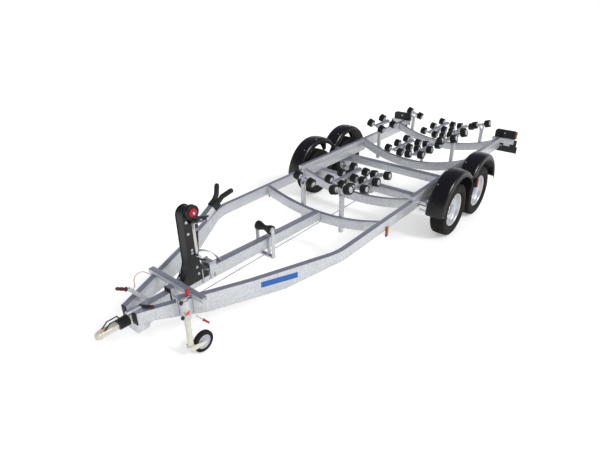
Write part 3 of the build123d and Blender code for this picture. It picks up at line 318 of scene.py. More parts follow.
def strap_webbing():
    """Polyester webbing: a 3 mm twill of light grey yarn."""
    tones = linear("#A7A8A2"), linear("#DEDFD9")
    return ridged("polyester_webbing", linear("#C9CAC4"), 0.85, 3, "DIAGONAL", 0.4, tones, 0.6, {})


FINISHES = {}


def make_finishes(colours):
    FINISHES.update({
        "zinc": hot_dip_zinc(colours),
        "bright": bright_zinc(colours),
        "yellow": yellow_zinc(colours),
        "cast": cast_zinc(colours),
        # formed from a glossy sheet: smooth, with long soft highlights
        "fender": moulded_black("moulded_polyethylene", colours.plastic, 0.25, 3, 0.0002),
        # sprayed and baked: satin and slightly pebbled
        "paint": moulded_black("black_powder_coat", colours.paint, 0.38, 1.5, 0.0003),
        # soft rubber: matt, with a coarse skin
        "soft": moulded_black("black_soft_rubber", linear("#1C1C1D"), 0.6, 2, 0.0005),
        # harder rubber of the rollers: a dull sheen on the ribs
        "roller": moulded_black("ribbed_roller_rubber", colours.roller, 0.5, 2, 0.0004),
        "hub": plain_plastic("nylon_hub", colours.hub, 0.4),
        "tyre": tyre_rubber(colours),
        "rim": silver_paint(colours),
        "jockey_rim": plain_plastic("white_nylon_rim", linear("#C4C2CC"), 0.4),
        "red": plain_plastic("red_moulded_plastic", colours.red, 0.3),
        "dark_red": plain_plastic("dark_red_grip", linear("#4A1016"), 0.4),
        "orange": plain_plastic("orange_red_label", linear("#E2492F"), 0.4),
        "amber": clear_lens("amber_acrylic", colours.amber),
        "brown": clear_lens("smoked_acrylic", linear("#6B4030")),
        "red_lens": clear_lens("red_acrylic", linear("#A3161E")),
        "blue": plain_plastic("blue_enamel_plate", colours.blue, 0.3),
        "cable": plain_plastic("red_coated_cable", linear("#8C3E48"), 0.4),
        "webbing": strap_webbing(),
    })


# ---------------------------------------------------------------- mesh helpers
def turns(steps):
    """The angles of equal steps round a full turn."""
    return [2 * math.pi * i / steps for i in range(steps)]


def ray_at(turn):
    """Direction square to X, turned from straight up."""
    return Vector((0, math.sin(turn), math.cos(turn)))


def cross_axes(axis):
    """Two directions square to an axis."""
    u = axis.cross(Z_AXIS if abs(axis.z) < 0.9 else Y_AXIS).normalized()
    return u, axis.cross(u).normalized()


def add_rings(bm, rings, closed=False, cap=True):
    """Skin a row of point rings with quads; closed joins the last ring to the first."""
    rows = [[bm.verts.new(point) for point in ring] for ring in rings]
    pairs = list(zip(rows, rows[1:]))
    if closed:
        pairs.append((rows[-1], rows[0]))
    for here, there in pairs:
        count = len(here)
        for i in range(count):
            j = (i + 1) % count
            bm.faces.new((here[i], here[j], there[j], there[i]))
    if cap and not closed:
        bm.faces.new(rows[0])
        bm.faces.new(list(reversed(rows[-1])))


def add_lathe(bm, profile, centre, axis, steps=32, closed=False, cap=True):
    """Turn an (along, radius) profile about the axis line through centre."""
    u, v = cross_axes(axis)
    rings = []
    for along, radius in profile:
        middle = centre + axis * along
        rings.append([middle + (u * math.cos(t) + v * math.sin(t)) * radius for t in turns(steps)])
    add_rings(bm, rings, closed, cap)


def add_prism(bm, outline, origin, u, v, depth):
    """Push an outline of (a, b) points in the u, v plane out by the vector depth."""
    near = [origin + u * a + v * b for a, b in outline]
    add_rings(bm, [near, [point + depth for point in near]])


def add_block(bm, low, high):
    """A block between two corners."""
    outline = ((low[0], low[1]), (high[0], low[1]), (high[0], high[1]), (low[0], high[1]))
    add_prism(bm, outline, Z_AXIS * low[2], X_AXIS, Y_AXIS, Z_AXIS * (high[2] - low[2]))


def add_sided_block(bm, low, high, side):
    """A block given on the left side, put on the asked side."""
    ends = sorted((side * low[0], side * high[0]))
    add_block(bm, (ends[0], low[1], low[2]), (ends[1], high[1], high[2]))


def add_bar(bm, start, end, width, height, up=Z_AXIS):
    """A rectangular bar from start to end; width lies across, height towards up."""
    along = (end - start).normalized()
    across = along.cross(up).normalized()
    rise = across.cross(along).normalized()
    w, h = width / 2, height / 2
    add_prism(bm, ((-w, -h), (w, -h), (w, h), (-w, h)), start, across, rise, end - start)


def add_bars(bm, table, up=Z_AXIS):
    """Bars from a table of start and end as (x, station, z), width and height."""
    for start, end, width, height in table:
        add_bar(bm, spot(*start), spot(*end), width, height, up)


def add_pipe(bm, points, radius, sides=12):
    """A round bar through points, with its section carried along without twist."""
    last = len(points) - 1
    ways = [(points[min(i + 1, last)] - points[max(i - 1, 0)]).normalized() for i in range(last + 1)]
    u, _ = cross_axes(ways[0])
    rings = []
    for point, way in zip(points, ways):
        u = (u - way * u.dot(way)).normalized()
        v = way.cross(u)
        rings.append([point + (u * math.cos(t) + v * math.sin(t)) * radius for t in turns(sides)])
    add_rings(bm, rings)


def add_pipes(bm, table):
    """Pipes from a table of points as (x, station, z) and radius."""
    for points, radius in table:
        add_pipe(bm, [spot(*point) for point in points], radius)


def arc_points(centre, u, v, radius, start, end, steps):
    """Points on an arc in the u, v plane, between two angles in degrees."""
    angles = [math.radians(start + (end - start) * i / steps) for i in range(steps + 1)]
    return [centre + (u * math.cos(t) + v * math.sin(t)) * radius for t in angles]


def add_hex(bm, centre, axis, radius, height):
    """A hexagonal nut or bolt head with its top edge turned down."""
    add_lathe(bm, ((0, radius), (height * 0.85, radius), (height, radius * 0.86)), centre, axis, 6)


def round_edges(bm, width, limit=28):
    """Bevel the edges that turn by more than limit degrees."""
    edges = [e for e in bm.edges if len(e.link_faces) == 2 and e.calc_face_angle(0) > math.radians(limit)]
    if width > 0 and edges:
        bmesh.ops.bevel(bm, geom=edges, offset=width, offset_type="OFFSET", segments=2,
                        profile=0.5, affect="EDGES", clamp_overlap=True)


def put_in_scene(name, data):
    piece = bpy.data.objects.new(name, data)
    bpy.context.scene.collection.objects.link(piece)
    return piece


def close_mesh(name, bm):
    """Turn a bmesh into an object and free it."""
    mesh = bpy.data.meshes.new(name)
    bm.to_mesh(mesh)
    bm.free()
    return put_in_scene(name, mesh)


def paint_over(piece, finish):
    piece.data.materials.clear()
    piece.data.materials.append(FINISHES[finish])


def settle_piece(piece, finish, body, replaces=()):
    """Give a piece its finish, its body and the nodes it stands for."""
    paint_over(piece, finish)
    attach(piece, body)
    if replaces:
        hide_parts(*replaces)
    return piece


def make_piece(name, bm, finish, body, replaces=(), sharp=32):
    """Turn a bmesh into a finished piece that rides on a body."""
    bmesh.ops.recalc_face_normals(bm, faces=bm.faces[:])
    for face in bm.faces:
        face.smooth = True
    for edge in bm.edges:
        edge.smooth = edge.calc_face_angle(0) < math.radians(sharp)
    return settle_piece(close_mesh(name, bm), finish, body, replaces)


def make_lathe(name, profile, centre, axis, steps, finish, body, replaces=(), sharp=40, closed=False):
    """A piece that is one turned profile."""
    bm = bmesh.new()
    add_lathe(bm, profile, centre, axis, steps, closed)
    make_piece(name, bm, finish, body, replaces, sharp)


def bake_modifiers(piece):
    """Turn a piece's modifiers into its plain mesh."""
    bpy.context.view_layer.update()
    evaluated = piece.evaluated_get(bpy.context.evaluated_depsgraph_get())
    mesh = bpy.data.meshes.new_from_object(evaluated)
    piece.modifiers.clear()
    old = piece.data
    piece.data = mesh
    bpy.data.meshes.remove(old)
    return piece


# ---------------------------------------------------------------- geometry nodes
# a bolt's washer as shares of its head's radius and height, and where the middle of the head lies
WASHER_WIDTH = 1.45
WASHER_HEIGHT = 0.3
WASHER_SIDES = 14
HEAD_MIDDLE = 0.65


def start_tree(name, sockets):
    """A geometry node tree with named inputs: (name, kind, default)."""
    tree = bpy.data.node_groups.new(name, "GeometryNodeTree")
    tree.interface.new_socket("Geometry", in_out="INPUT", socket_type="NodeSocketGeometry")
    for label, kind, default in sockets:
        socket = tree.interface.new_socket(label, in_out="INPUT", socket_type=kind)
        if default is not None:
            socket.default_value = default
    tree.interface.new_socket("Geometry", in_out="OUTPUT", socket_type="NodeSocketGeometry")
    return tree, add_node(tree, "NodeGroupInput")


def set_inputs(modifier, values):
    """Set a node modifier's inputs, found by name and set by identifier."""
    for item in modifier.node_group.interface.items_tree:
        if item.item_type == "SOCKET" and item.in_out == "INPUT" and item.name in values:
            modifier[item.identifier] = values[item.name]


def scatter(tree, given, places, copy, rotation):
    """End a tree: a turned copy on every point, made real and given its material."""
    points = add_node(tree, "GeometryNodeMeshToPoints", {"Mesh": places})
    copies = add_node(tree, "GeometryNodeInstanceOnPoints", {
        "Points": points["Points"], "Instance": copy, "Rotation": rotation})
    real = add_node(tree, "GeometryNodeRealizeInstances", {"Geometry": copies["Instances"]})
    dressed = add_node(tree, "GeometryNodeSetMaterial", {
        "Geometry": real["Geometry"], "Material": given["Material"]})
    add_node(tree, "NodeGroupOutput", {"Geometry": dressed["Geometry"]})
    return tree


def bolt_tree():
    """A hexagon head with its washer on every point, turned to the point's own direction."""
    tree, given = start_tree("bolt_heads", (
        ("Head Radius", "NodeSocketFloat", 0.0105), ("Head Height", "NodeSocketFloat", 0.008),
        ("Material", "NodeSocketMaterial", None)))
    radius, height = given["Head Radius"], given["Head Height"]
    wide = add_node(tree, "ShaderNodeMath", {0: radius, 1: WASHER_WIDTH}, operation="MULTIPLY")
    thin = add_node(tree, "ShaderNodeMath", {0: height, 1: WASHER_HEIGHT}, operation="MULTIPLY")
    middle = add_node(tree, "ShaderNodeMath", {0: height, 1: HEAD_MIDDLE}, operation="MULTIPLY")
    head = add_node(tree, "GeometryNodeMeshCylinder", {"Vertices": 6, "Radius": radius, "Depth": height})
    washer = add_node(tree, "GeometryNodeMeshCylinder", {
        "Vertices": WASHER_SIDES, "Radius": wide["Value"], "Depth": thin["Value"]})
    lift = add_node(tree, "ShaderNodeCombineXYZ", {"Z": middle["Value"]})
    raised = add_node(tree, "GeometryNodeTransform", {
        "Geometry": head["Mesh"], "Translation": lift["Vector"]})
    both = tree.nodes.new("GeometryNodeJoinGeometry")
    for part in (raised["Geometry"], washer["Mesh"]):
        feed(tree, both, {"Geometry": part})
    facing = add_node(tree, "GeometryNodeInputNamedAttribute", {"Name": "facing"}, data_type="FLOAT_VECTOR")
    turn = add_node(tree, "FunctionNodeAlignRotationToVector", {"Vector": facing["Attribute"]}, axis="Z")
    return scatter(tree, given, given["Geometry"], both.outputs["Geometry"], turn["Rotation"])


def make_bolts(name, spots, body, finish="bright", scale=1.0):
    """Bolt heads on a list of (place, direction), as one plain mesh."""
    mesh = bpy.data.meshes.new(name)
    mesh.from_pydata([tuple(place) for place, _ in spots], [], [])
    facing = mesh.attributes.new("facing", "FLOAT_VECTOR", "POINT")
    for index, (_, way) in enumerate(spots):
        facing.data[index].vector = Vector(way).normalized()
    piece = put_in_scene(name, mesh)
    sizes = bpy.context.scene.trailer_sizes
    modifier = piece.modifiers.new("bolts", "NODES")
    modifier.node_group = bpy.data.node_groups.get("bolt_heads") or bolt_tree()
    set_inputs(modifier, {"Head Radius": sizes.bolt_radius * scale, "Head Height": sizes.bolt_height * scale,
                          "Material": FINISHES[finish]})
    settle_piece(bake_modifiers(piece), finish, body)


def ring_tree():
    """Copies of the given mesh turned round the X axis, count times."""
    tree, given = start_tree("ring_copies", (
        ("Count", "NodeSocketInt", 60), ("Radius", "NodeSocketFloat", 0.3),
        ("Material", "NodeSocketMaterial", None)))
    line = add_node(tree, "GeometryNodeMeshLine", {"Count": given["Count"], "Offset": (0.0, 0.0, 0.0)})
    index = add_node(tree, "GeometryNodeInputIndex")
    share = add_node(tree, "ShaderNodeMath", {0: index["Index"], 1: given["Count"]}, operation="DIVIDE")
    angle = add_node(tree, "ShaderNodeMath", {0: share["Value"], 1: 2 * math.pi}, operation="MULTIPLY")
    turn = add_node(tree, "ShaderNodeCombineXYZ", {"X": angle["Value"]})
    up = add_node(tree, "ShaderNodeCombineXYZ", {"Z": given["Radius"]})
    place = add_node(tree, "ShaderNodeVectorRotate", {"Vector": up["Vector"], "Angle": angle["Value"]},
                     rotation_type="X_AXIS")
    spread = add_node(tree, "GeometryNodeSetPosition", {
        "Geometry": line["Mesh"], "Position": place["Vector"]})
    return scatter(tree, given, spread["Geometry"], given["Geometry"], turn["Vector"])


def make_ring(name, bm, count, radius, centre, finish, body):
    """Repeat a small mesh round an X line through centre; its own origin sits on the circle."""
    bmesh.ops.recalc_face_normals(bm, faces=bm.faces[:])
    piece = close_mesh(name, bm)
    modifier = piece.modifiers.new("ring", "NODES")
    modifier.node_group = bpy.data.node_groups.get("ring_copies") or ring_tree()
    set_inputs(modifier, {"Count": count, "Radius": radius, "Material": FINISHES[finish]})
    bake_modifiers(piece)
    piece.data.transform(Matrix.Translation(centre))
    settle_piece(piece, finish, body)


# ---------------------------------------------------------------- stage
CAMERA_PLACE = (2.8009, -4.1934, 2.6824)
CAMERA_PAN = 0.6944
CAMERA_TILT = 0.4912
CAMERA_ROLL = -0.0109
CAMERA_FOCAL = 472.333
FRAME_WIDTH = 600
CAMERA_REACH = 80.0
LIGHT_FROM = Vector((1.58, 0.28, 1.3))
SUN_STRENGTH = 1.5
SUN_SPREAD = 16
DOME_STRENGTH = 0.74
# height of the dome's reflection where it starts and ends to turn grey
CEILING_RISE = (0.05, 0.45)
FLOOR_HALF = 40
FLOOR_GLOW = 0.3


def make_camera():
    data = bpy.data.cameras.new("camera")
    data.sensor_fit = "HORIZONTAL"
    data.sensor_width = 36.0
    data.lens = CAMERA_FOCAL / FRAME_WIDTH * data.sensor_width
    data.clip_end = CAMERA_REACH
    camera = put_in_scene("camera", data)
    camera.matrix_world = (Matrix.Translation(CAMERA_PLACE) @ Matrix.Rotation(CAMERA_PAN, 4, "Z")
                           @ Matrix.Rotation(math.pi / 2 - CAMERA_TILT, 4, "X")
                           @ Matrix.Rotation(CAMERA_ROLL, 4, "Z"))
    bpy.context.scene.camera = camera


def make_world():
    """Even studio dome: white to the eye, plain light on the object, a grey ceiling in reflections."""
    world = bpy.data.worlds.new("studio")
    world.use_nodes = True
    tree = world.node_tree
    tree.nodes.clear()
    ray = add_node(tree, "ShaderNodeLightPath")
    way = add_node(tree, "ShaderNodeTexCoord")
    height = add_node(tree, "ShaderNodeSeparateXYZ", {"Vector": way["Generated"]})
    rise = add_node(tree, "ShaderNodeMapRange", {
        "Value": height["Z"], "From Min": CEILING_RISE[0], "From Max": CEILING_RISE[1]})
    ceiling = add_node(tree, "ShaderNodeMixRGB", {
        "Fac": rise["Result"], "Color1": WHITE, "Color2": linear("#6E7082")})
    fill = add_node(tree, "ShaderNodeBackground", {"Color": WHITE, "Strength": DOME_STRENGTH})
    shine = add_node(tree, "ShaderNodeBackground", {"Color": ceiling["Color"]})
    white = add_node(tree, "ShaderNodeBackground", {"Color": WHITE})
    glossy = add_node(tree, "ShaderNodeMixShader", {
        0: ray["Is Glossy Ray"], 1: fill["Background"], 2: shine["Background"]})
    clear = add_node(tree, "ShaderNodeMath", {0: ray["Is Camera Ray"], 1: ray["Is Transmission Ray"]},
                     operation="MAXIMUM")
    seen = add_node(tree, "ShaderNodeMixShader", {
        0: clear["Value"], 1: glossy["Shader"], 2: white["Background"]})
    add_node(tree, "ShaderNodeOutputWorld", {"Surface": seen["Shader"]})
    bpy.context.scene.world = world


def make_lights():
    data = bpy.data.lights.new("soft_key", "SUN")
    data.energy = SUN_STRENGTH
    data.angle = math.radians(SUN_SPREAD)
    put_in_scene("soft_key", data).rotation_euler = LIGHT_FROM.to_track_quat("Z", "Y").to_euler()


def make_floor():
    """Pale floor that shows white to the camera and keeps the soft shadow."""
    bm = bmesh.new()
    bmesh.ops.create_grid(bm, x_segments=2, y_segments=2, size=FLOOR_HALF)
    floor = close_mesh("floor", bm)
    material, tree, shader, _ = start_material("pale_floor", linear("#F4F4F4"), 0.9)
    feed(tree, shader, {"Specular IOR Level": 0.0})
    bare = shader.outputs["BSDF"]
    ray = add_node(tree, "ShaderNodeLightPath")
    glow = add_node(tree, "ShaderNodeEmission", {"Color": WHITE, "Strength": FLOOR_GLOW})
    lit = add_node(tree, "ShaderNodeAddShader", {0: bare, 1: glow["Emission"]})
    seen = add_node(tree, "ShaderNodeMixShader", {0: ray["Is Camera Ray"], 1: bare, 2: lit["Shader"]})
    feed(tree, tree.nodes["Material Output"], {"Surface": seen["Shader"]})
    floor.data.materials.append(material)


# ---------------------------------------------------------------- cable
CABLE_DIAMETER = 0.005
# points as (x, station, z) that steer the smooth line of the cable
CABLE_ROUTE = (
    (-0.050, 0.378, 0.6095),
    (-0.050, 0.405, 0.630),
    (-0.054, 0.399, 0.669),
    (-0.071, 0.424, 0.695),
    (-0.098, 0.462, 0.690),
    (-0.132, 0.508, 0.668),
    (-0.166, 0.552, 0.634),
    (-0.198, 0.594, 0.592),
    (-0.226, 0.630, 0.546),
    (-0.244, 0.656, 0.520),
    (-0.254, 0.677, 0.512),
)


def make_cable():
    """Breakaway cable from the brake lever to the clamp plate."""
    points = [spot(*place) for place in CABLE_ROUTE]
    curve = bpy.data.curves.new("breakaway_cable_line", "CURVE")
    curve.dimensions = "3D"
    curve.bevel_depth = CABLE_DIAMETER / 2
    curve.bevel_resolution = 4
    curve.resolution_u = 10
    curve.use_fill_caps = True
    spline = curve.splines.new("NURBS")
    spline.points.add(len(points) - 1)
    for slot, point in zip(spline.points, points):
        slot.co = (*point, 1.0)
    spline.order_u = 3
    spline.use_endpoint_u = True
    piece = put_in_scene("breakaway_cable_line", curve)
    settle_piece(piece, "cable", "chassis", ("breakaway_cable",))


# ---------------------------------------------------------------- folded steel frame
# node, finish, edge rounding in metres, slot
SOFTENED = (
    ("drawbar_rails", "zinc", 0.006, "galvanised"),
    ("rear_rails", "zinc", 0.006, "galvanised"),
    ("centre_beam", "zinc", 0.006, "galvanised"),
    ("cross_members", "zinc", 0.004, "galvanised"),
    ("clamp_plate", "zinc", 0.002, "galvanised"),
    ("fender_bars", "zinc", 0.003, "galvanised"),
    ("front_axle", "zinc", 0.004, "galvanised"),
    ("rear_axle", "zinc", 0.004, "galvanised"),
    ("cradle_forks", "zinc", 0.002, "galvanised"),
    ("roller_posts", "zinc", 0.003, "galvanised"),
    ("keel_bracket", "zinc", 0.002, "galvanised"),
    ("overrun_housing", "zinc", 0.004, "galvanised"),
    ("post_stay", "zinc", 0.0015, "galvanised"),
    ("bow_stop_arm", "zinc", 0.004, "galvanised"),
    ("lamp_bars", "zinc", 0.002, "galvanised"),
    ("lamp_housings", "paint", 0.004, "black_paint"),
    ("end_caps", "soft", 0.002, "black_rubber"),
    ("splash_flaps", "soft", 0.0015, "black_rubber"),
    ("jockey_fork", "yellow", 0.0015, "zinc_plate"),
    ("jockey_leg", "yellow", 0.001, "zinc_plate"),
    ("coupling_head", "cast", 0.002, "cast_zinc"),
    ("jockey_clamp", "zinc", 0.003, "zinc_plate"),
)
# lower edges drawn higher than in the solids: node, stations, heights that move, and the lift
EDGE_LIFTS = (
    ("drawbar_rails", 0.20, 0.60, 0.30, 0.40, 0.048),
    ("drawbar_rails", 0.60, 1.60, 0.28, 0.40, 0.027),
    ("end_caps", 0.20, 0.40, 0.34, 0.36, 0.048),
    ("overrun_housing", 0.28, 0.40, 0.34, 0.36, 0.048),
)
# nodes whose own shape stays: node, finish
PLAIN_NODES = (
    ("brake_rod", "bright"),
    ("label_plate", "blue"),
    ("coupling_handle", "paint"),
    ("bow_stop_pads", "soft"),
)
# metres and degrees below which corners and faces count as one
MERGE_GAP = 0.00002
MERGE_ANGLE = 0.5
# degrees from which an edge of folded steel is rounded, and from which it shows sharp
FOLD_ANGLE = 35
FOLD_SHARP = 30


def lift_edges(bm, node):
    for name, front, back, low, high, lift in EDGE_LIFTS:
        for vert in bm.verts:
            if name == node and y_at(front) < vert.co.y < y_at(back) and low < vert.co.z < high:
                vert.co.z += lift


def soften_node(node, finish, width, slot):
    """A copy of a node's mesh, merged and with its edges rounded, that stands for the node."""
    source = frame["nodes"][node]
    bm = bmesh.new()
    bm.from_mesh(source.data)
    bmesh.ops.remove_doubles(bm, verts=bm.verts[:], dist=MERGE_GAP)
    bmesh.ops.dissolve_limit(bm, angle_limit=math.radians(MERGE_ANGLE), verts=bm.verts[:], edges=bm.edges[:])
    lift_edges(bm, node)
    round_edges(bm, width, FOLD_ANGLE)
    make_piece(f"{node}_dressed", bm, finish, source["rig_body"], (node,), FOLD_SHARP)


# ---------------------------------------------------------------- wheels
TYRE_RADIUS = WHEEL_CENTRE.z
# (along, radius) of a road tyre's outer side, from the bead to the shoulder
TYRE_SIDE = (
    (0.060, 0.1786), (0.0615, 0.193), (0.067, 0.198), (0.0755, 0.2045), (0.0835, 0.2155),
    (0.0885, 0.2275), (0.0892, 0.230), (0.0900, 0.2325), (0.0916, 0.240), (0.0922, 0.250),
    (0.0922, 0.258), (0.0912, 0.268), (0.0898, 0.270), (0.0885, 0.2735), (0.0865, 0.281),
    (0.0835, 0.288), (0.0795, 0.2935), (0.074, 0.297),
)
SHOULDER_HALF = 0.066
# rows of tread blocks: place across the tyre, width, lean of the crown there
TREAD_ROWS = (
    (0.0, 0.030, 0.0),
    (0.0335, 0.025, 0.0006),
    (-0.0335, 0.025, 0.0006),
    (0.0625, 0.024, 0.0042),
    (-0.0625, 0.024, 0.0042),
)
TREAD_GAP = 0.005
TREAD_SLANT = 0.0035
TREAD_ROOT = -0.004
TREAD_EDGE = 0.0012
# (along, radius) loop of the rolled rim: its outer face with both flanges, then its inner face
RIM_LOOP = (
    (-0.070, 0.187), (-0.0695, 0.1905), (-0.066, 0.1905), (-0.063, 0.186), (-0.060, 0.178),
    (-0.030, 0.1755), (-0.020, 0.160), (0.020, 0.160), (0.030, 0.1755), (0.060, 0.178),
    (0.063, 0.186), (0.066, 0.1905), (0.0695, 0.1905), (0.0705, 0.187),
    (0.066, 0.178), (0.058, 0.173), (0.034, 0.170), (0.024, 0.155), (-0.024, 0.155),
    (-0.034, 0.170), (-0.058, 0.173), (-0.066, 0.178),
)
DISC_FACE = 0.026
DISC_SHEET = 0.004
# radius and how far out the face stands, from the rim to the hub
DISC_ROWS = (
    (0.1535, 0.022), (0.148, 0.031), (0.140, 0.0365), (0.128, 0.041), (0.116, 0.0435), (0.104, 0.043),
    (0.092, 0.038), (0.080, 0.030), (0.070, DISC_FACE), (0.040, DISC_FACE), (0.034, DISC_FACE + 0.002),
)
SLOT_COUNT = 12
# steps round the disc from one slot to the next, and the steps and rows that a slot leaves open
SLOT_PITCH = 6
SLOT_STEPS = (2, 3)
SLOT_ROWS = (2, 3)
# (along from the disc's face, radius)
HUB_CAP = ((-0.046, 0.0338), (0.002, 0.0338), (0.004, 0.0325), (0.020, 0.031), (0.026, 0.029), (0.030, 0.022),
           (0.031, 0.001))
STUD_CIRCLE = 0.056
STUD_COUNT = 5
STUD_FACE = DISC_FACE + 0.004


def tread_block(width, length, height):
    """One tread block standing on its own origin."""
    bm = bmesh.new()
    w, l = width / 2, length / 2
    corners = ((-1, -1), (1, -1), (1, 1), (-1, 1))
    levels = ((TREAD_ROOT, 0.0), (height * 0.8, 0.0), (height, TREAD_EDGE))
    add_rings(bm, [[Vector((sx * (w - shrink) + sy * TREAD_SLANT, sy * (l - shrink), z))
                    for sx, sy in corners] for z, shrink in levels])
    return bm


def make_tyre(name, body):
    centre, _ = joint_place(f"{body}_spin")
    sizes = bpy.context.scene.trailer_sizes
    root = TYRE_RADIUS - sizes.tread_depth
    side = TYRE_SIDE + ((SHOULDER_HALF, root),)
    loop = side + tuple((-along, radius) for along, radius in reversed(side))
    make_lathe(f"{name}_carcass", loop, centre, X_AXIS, 96, "tyre", body, (name,), 60, closed=True)
    count = round(2 * math.pi * TYRE_RADIUS / sizes.tread_pitch)
    for index, (across, width, fall) in enumerate(TREAD_ROWS):
        block = tread_block(width, sizes.tread_pitch - TREAD_GAP, sizes.tread_depth - 0.001)
        make_ring(f"{name}_tread_{index}", block, count, root - fall, centre + X_AXIS * across, "tyre", body)


def add_slotted_disc(bm, centre, side):
    """Dished wheel disc with a row of hand holes, as a thin shell."""
    spokes = turns(SLOT_COUNT * SLOT_PITCH)
    grid = [[bm.verts.new(centre + X_AXIS * (side * along) + ray_at(t) * radius) for t in spokes]
            for radius, along in DISC_ROWS]
    for row, (here, there) in enumerate(zip(grid, grid[1:])):
        for i in range(len(spokes)):
            if row not in SLOT_ROWS or i % SLOT_PITCH not in SLOT_STEPS:
                j = (i + 1) % len(spokes)
                bm.faces.new((here[i], here[j], there[j], there[i]))


def make_rim(name, body, side):
    centre, _ = joint_place(f"{body}_spin")
    make_lathe(f"{name}_barrel", RIM_LOOP, centre, X_AXIS, 96, "rim", body, (name,), 50,
               closed=True)
    bm = bmesh.new()
    add_slotted_disc(bm, centre, side)
    disc = make_piece(f"{name}_disc", bm, "rim", body, (), 80)
    wall = disc.modifiers.new("wall", "SOLIDIFY")
    wall.thickness = DISC_SHEET
    wall.offset = 0.0
    smooth = disc.modifiers.new("smooth", "SUBSURF")
    smooth.levels = smooth.render_levels = 1
    bake_modifiers(disc)
    cap = [(DISC_FACE + along, radius) for along, radius in HUB_CAP]
    make_lathe(f"{name}_hub_cap", cap, centre, X_AXIS * side, 32, "bright", body)
    spots = [(centre + X_AXIS * (side * STUD_FACE) + ray_at(t) * STUD_CIRCLE, X_AXIS * side)
             for t in turns(STUD_COUNT)]
    make_bolts(f"{name}_nuts", spots, body, "bright", 1.1)


# ---------------------------------------------------------------- fenders
FENDER_CENTRE = WHEEL_CENTRE.x + 0.013
FENDER_HALF = 0.111
FENDER_LIFT = 0.020
FENDER_RADIUS = 0.455
FENDER_LIP = 0.075
FENDER_END = 0.370
FENDER_STEPS = 44
# wheel, angle from straight ahead in degrees, place across the fender
FENDER_BOLTS = (
    (0, 52, -0.06), (0, 84, -0.07), (0, 128, -0.06),
    (1, 60, -0.06), (1, 96, -0.07), (1, 140, -0.06),
)
BOLT_SINK = 0.009
# start and end as (x, station, z) on the left side, width, height
FENDER_BRACKETS = (
    ((0.784, 3.398, 0.450), (0.905, 3.398, 0.450), 0.020, 0.006),
    ((0.800, 3.402, 0.398), (0.985, 3.402, 0.378), 0.006, 0.030),
)


def fender_section():
    """(across, drop) from the outer lip over the rounded crown to the inner lip."""
    half, lip = FENDER_HALF, FENDER_LIP
    outer = [(half - 0.001, lip), (half - 0.001, lip - 0.004), (half - 0.005, lip - 0.009),
             (half - 0.005, 0.068)]
    for i in range(9):
        t = math.pi / 2 * i / 8
        outer.append((half - 0.004 - 0.046 * (1 - math.cos(t)), 0.050 - 0.044 * math.sin(t)))
    crown = [(0.035, 0.003), (0.0, 0.001), (-0.035, 0.003)]
    return outer + crown + [(-across, drop) for across, drop in reversed(outer)]


def fender_angles(radius, faces_tail):
    """Angles from straight ahead over the top, cut level in front and square between the wheels."""
    start = math.asin((FENDER_END - WHEEL_CENTRE.z - FENDER_LIFT) / radius)
    half_gap = (REAR_CENTRE.y - WHEEL_CENTRE.y) / 2
    end = math.pi - math.acos(half_gap / radius)
    angles = [start + (end - start) * i / FENDER_STEPS for i in range(FENDER_STEPS + 1)]
    return [math.pi - angle for angle in reversed(angles)][1:] if faces_tail else angles


def fender_column(side, across, drop):
    """Points over both wheels of one side, at one place across the fender."""
    radius = FENDER_RADIUS - drop
    return [Vector((side * (FENDER_CENTRE + across), centre.y - radius * math.cos(angle),
                    centre.z + FENDER_LIFT + radius * math.sin(angle)))
            for centre, faces_tail in ((WHEEL_CENTRE, False), (REAR_CENTRE, True))
            for angle in fender_angles(radius, faces_tail)]


def make_fenders():
    bm = bmesh.new()
    for _, side in SIDES:
        columns = [[bm.verts.new(point) for point in fender_column(side, *place)]
                   for place in fender_section()]
        for here, there in zip(columns, columns[1:]):
            for i in range(len(here) - 1):
                bm.faces.new((here[i], here[i + 1], there[i + 1], there[i])[::side])
    bmesh.ops.recalc_face_normals(bm, faces=bm.faces[:])
    for face in bm.faces:
        face.smooth = True
    piece = close_mesh("moulded_fenders", bm)
    wall = piece.modifiers.new("wall", "SOLIDIFY")
    wall.thickness = bpy.context.scene.trailer_sizes.fender_sheet
    wall.offset = -1.0
    settle_piece(bake_modifiers(piece), "fender", "chassis", ("fenders",))


def make_fender_bolts():
    spots = []
    for wheel, degrees, across in FENDER_BOLTS:
        centre = REAR_CENTRE if wheel else WHEEL_CENTRE
        angle = math.radians(degrees)
        way = Vector((0, -math.cos(angle), math.sin(angle)))
        middle = Vector((FENDER_CENTRE + across, centre.y, centre.z + FENDER_LIFT))
        place = middle + way * (FENDER_RADIUS - BOLT_SINK)
        spots += [(Vector((side * place.x, place.y, place.z)), way) for _, side in SIDES]
    make_bolts("fender_bolts", spots, "chassis", "bright", 0.9)


def make_fender_brackets():
    """Bars that hold the front edge of each fender off the rail."""
    bm = bmesh.new()
    for _, side in SIDES:
        for start, end, width, height in FENDER_BRACKETS:
            add_bar(bm, spot(side * start[0], *start[1:]), spot(side * end[0], *end[1:]), width, height)
    round_edges(bm, 0.001)
    make_piece("fender_brackets", bm, "zinc", "chassis")


# ---------------------------------------------------------------- rollers and cradles
ROLLER_RADIUS = 0.052
ROLLER_HALF = 0.036
ROLLER_BORE = 0.031
ROLLER_GROOVES = 5
ROLLER_SHOULDER = 0.007
GROOVE_HALF = 0.003
ROLLER_TRACK = 0.092
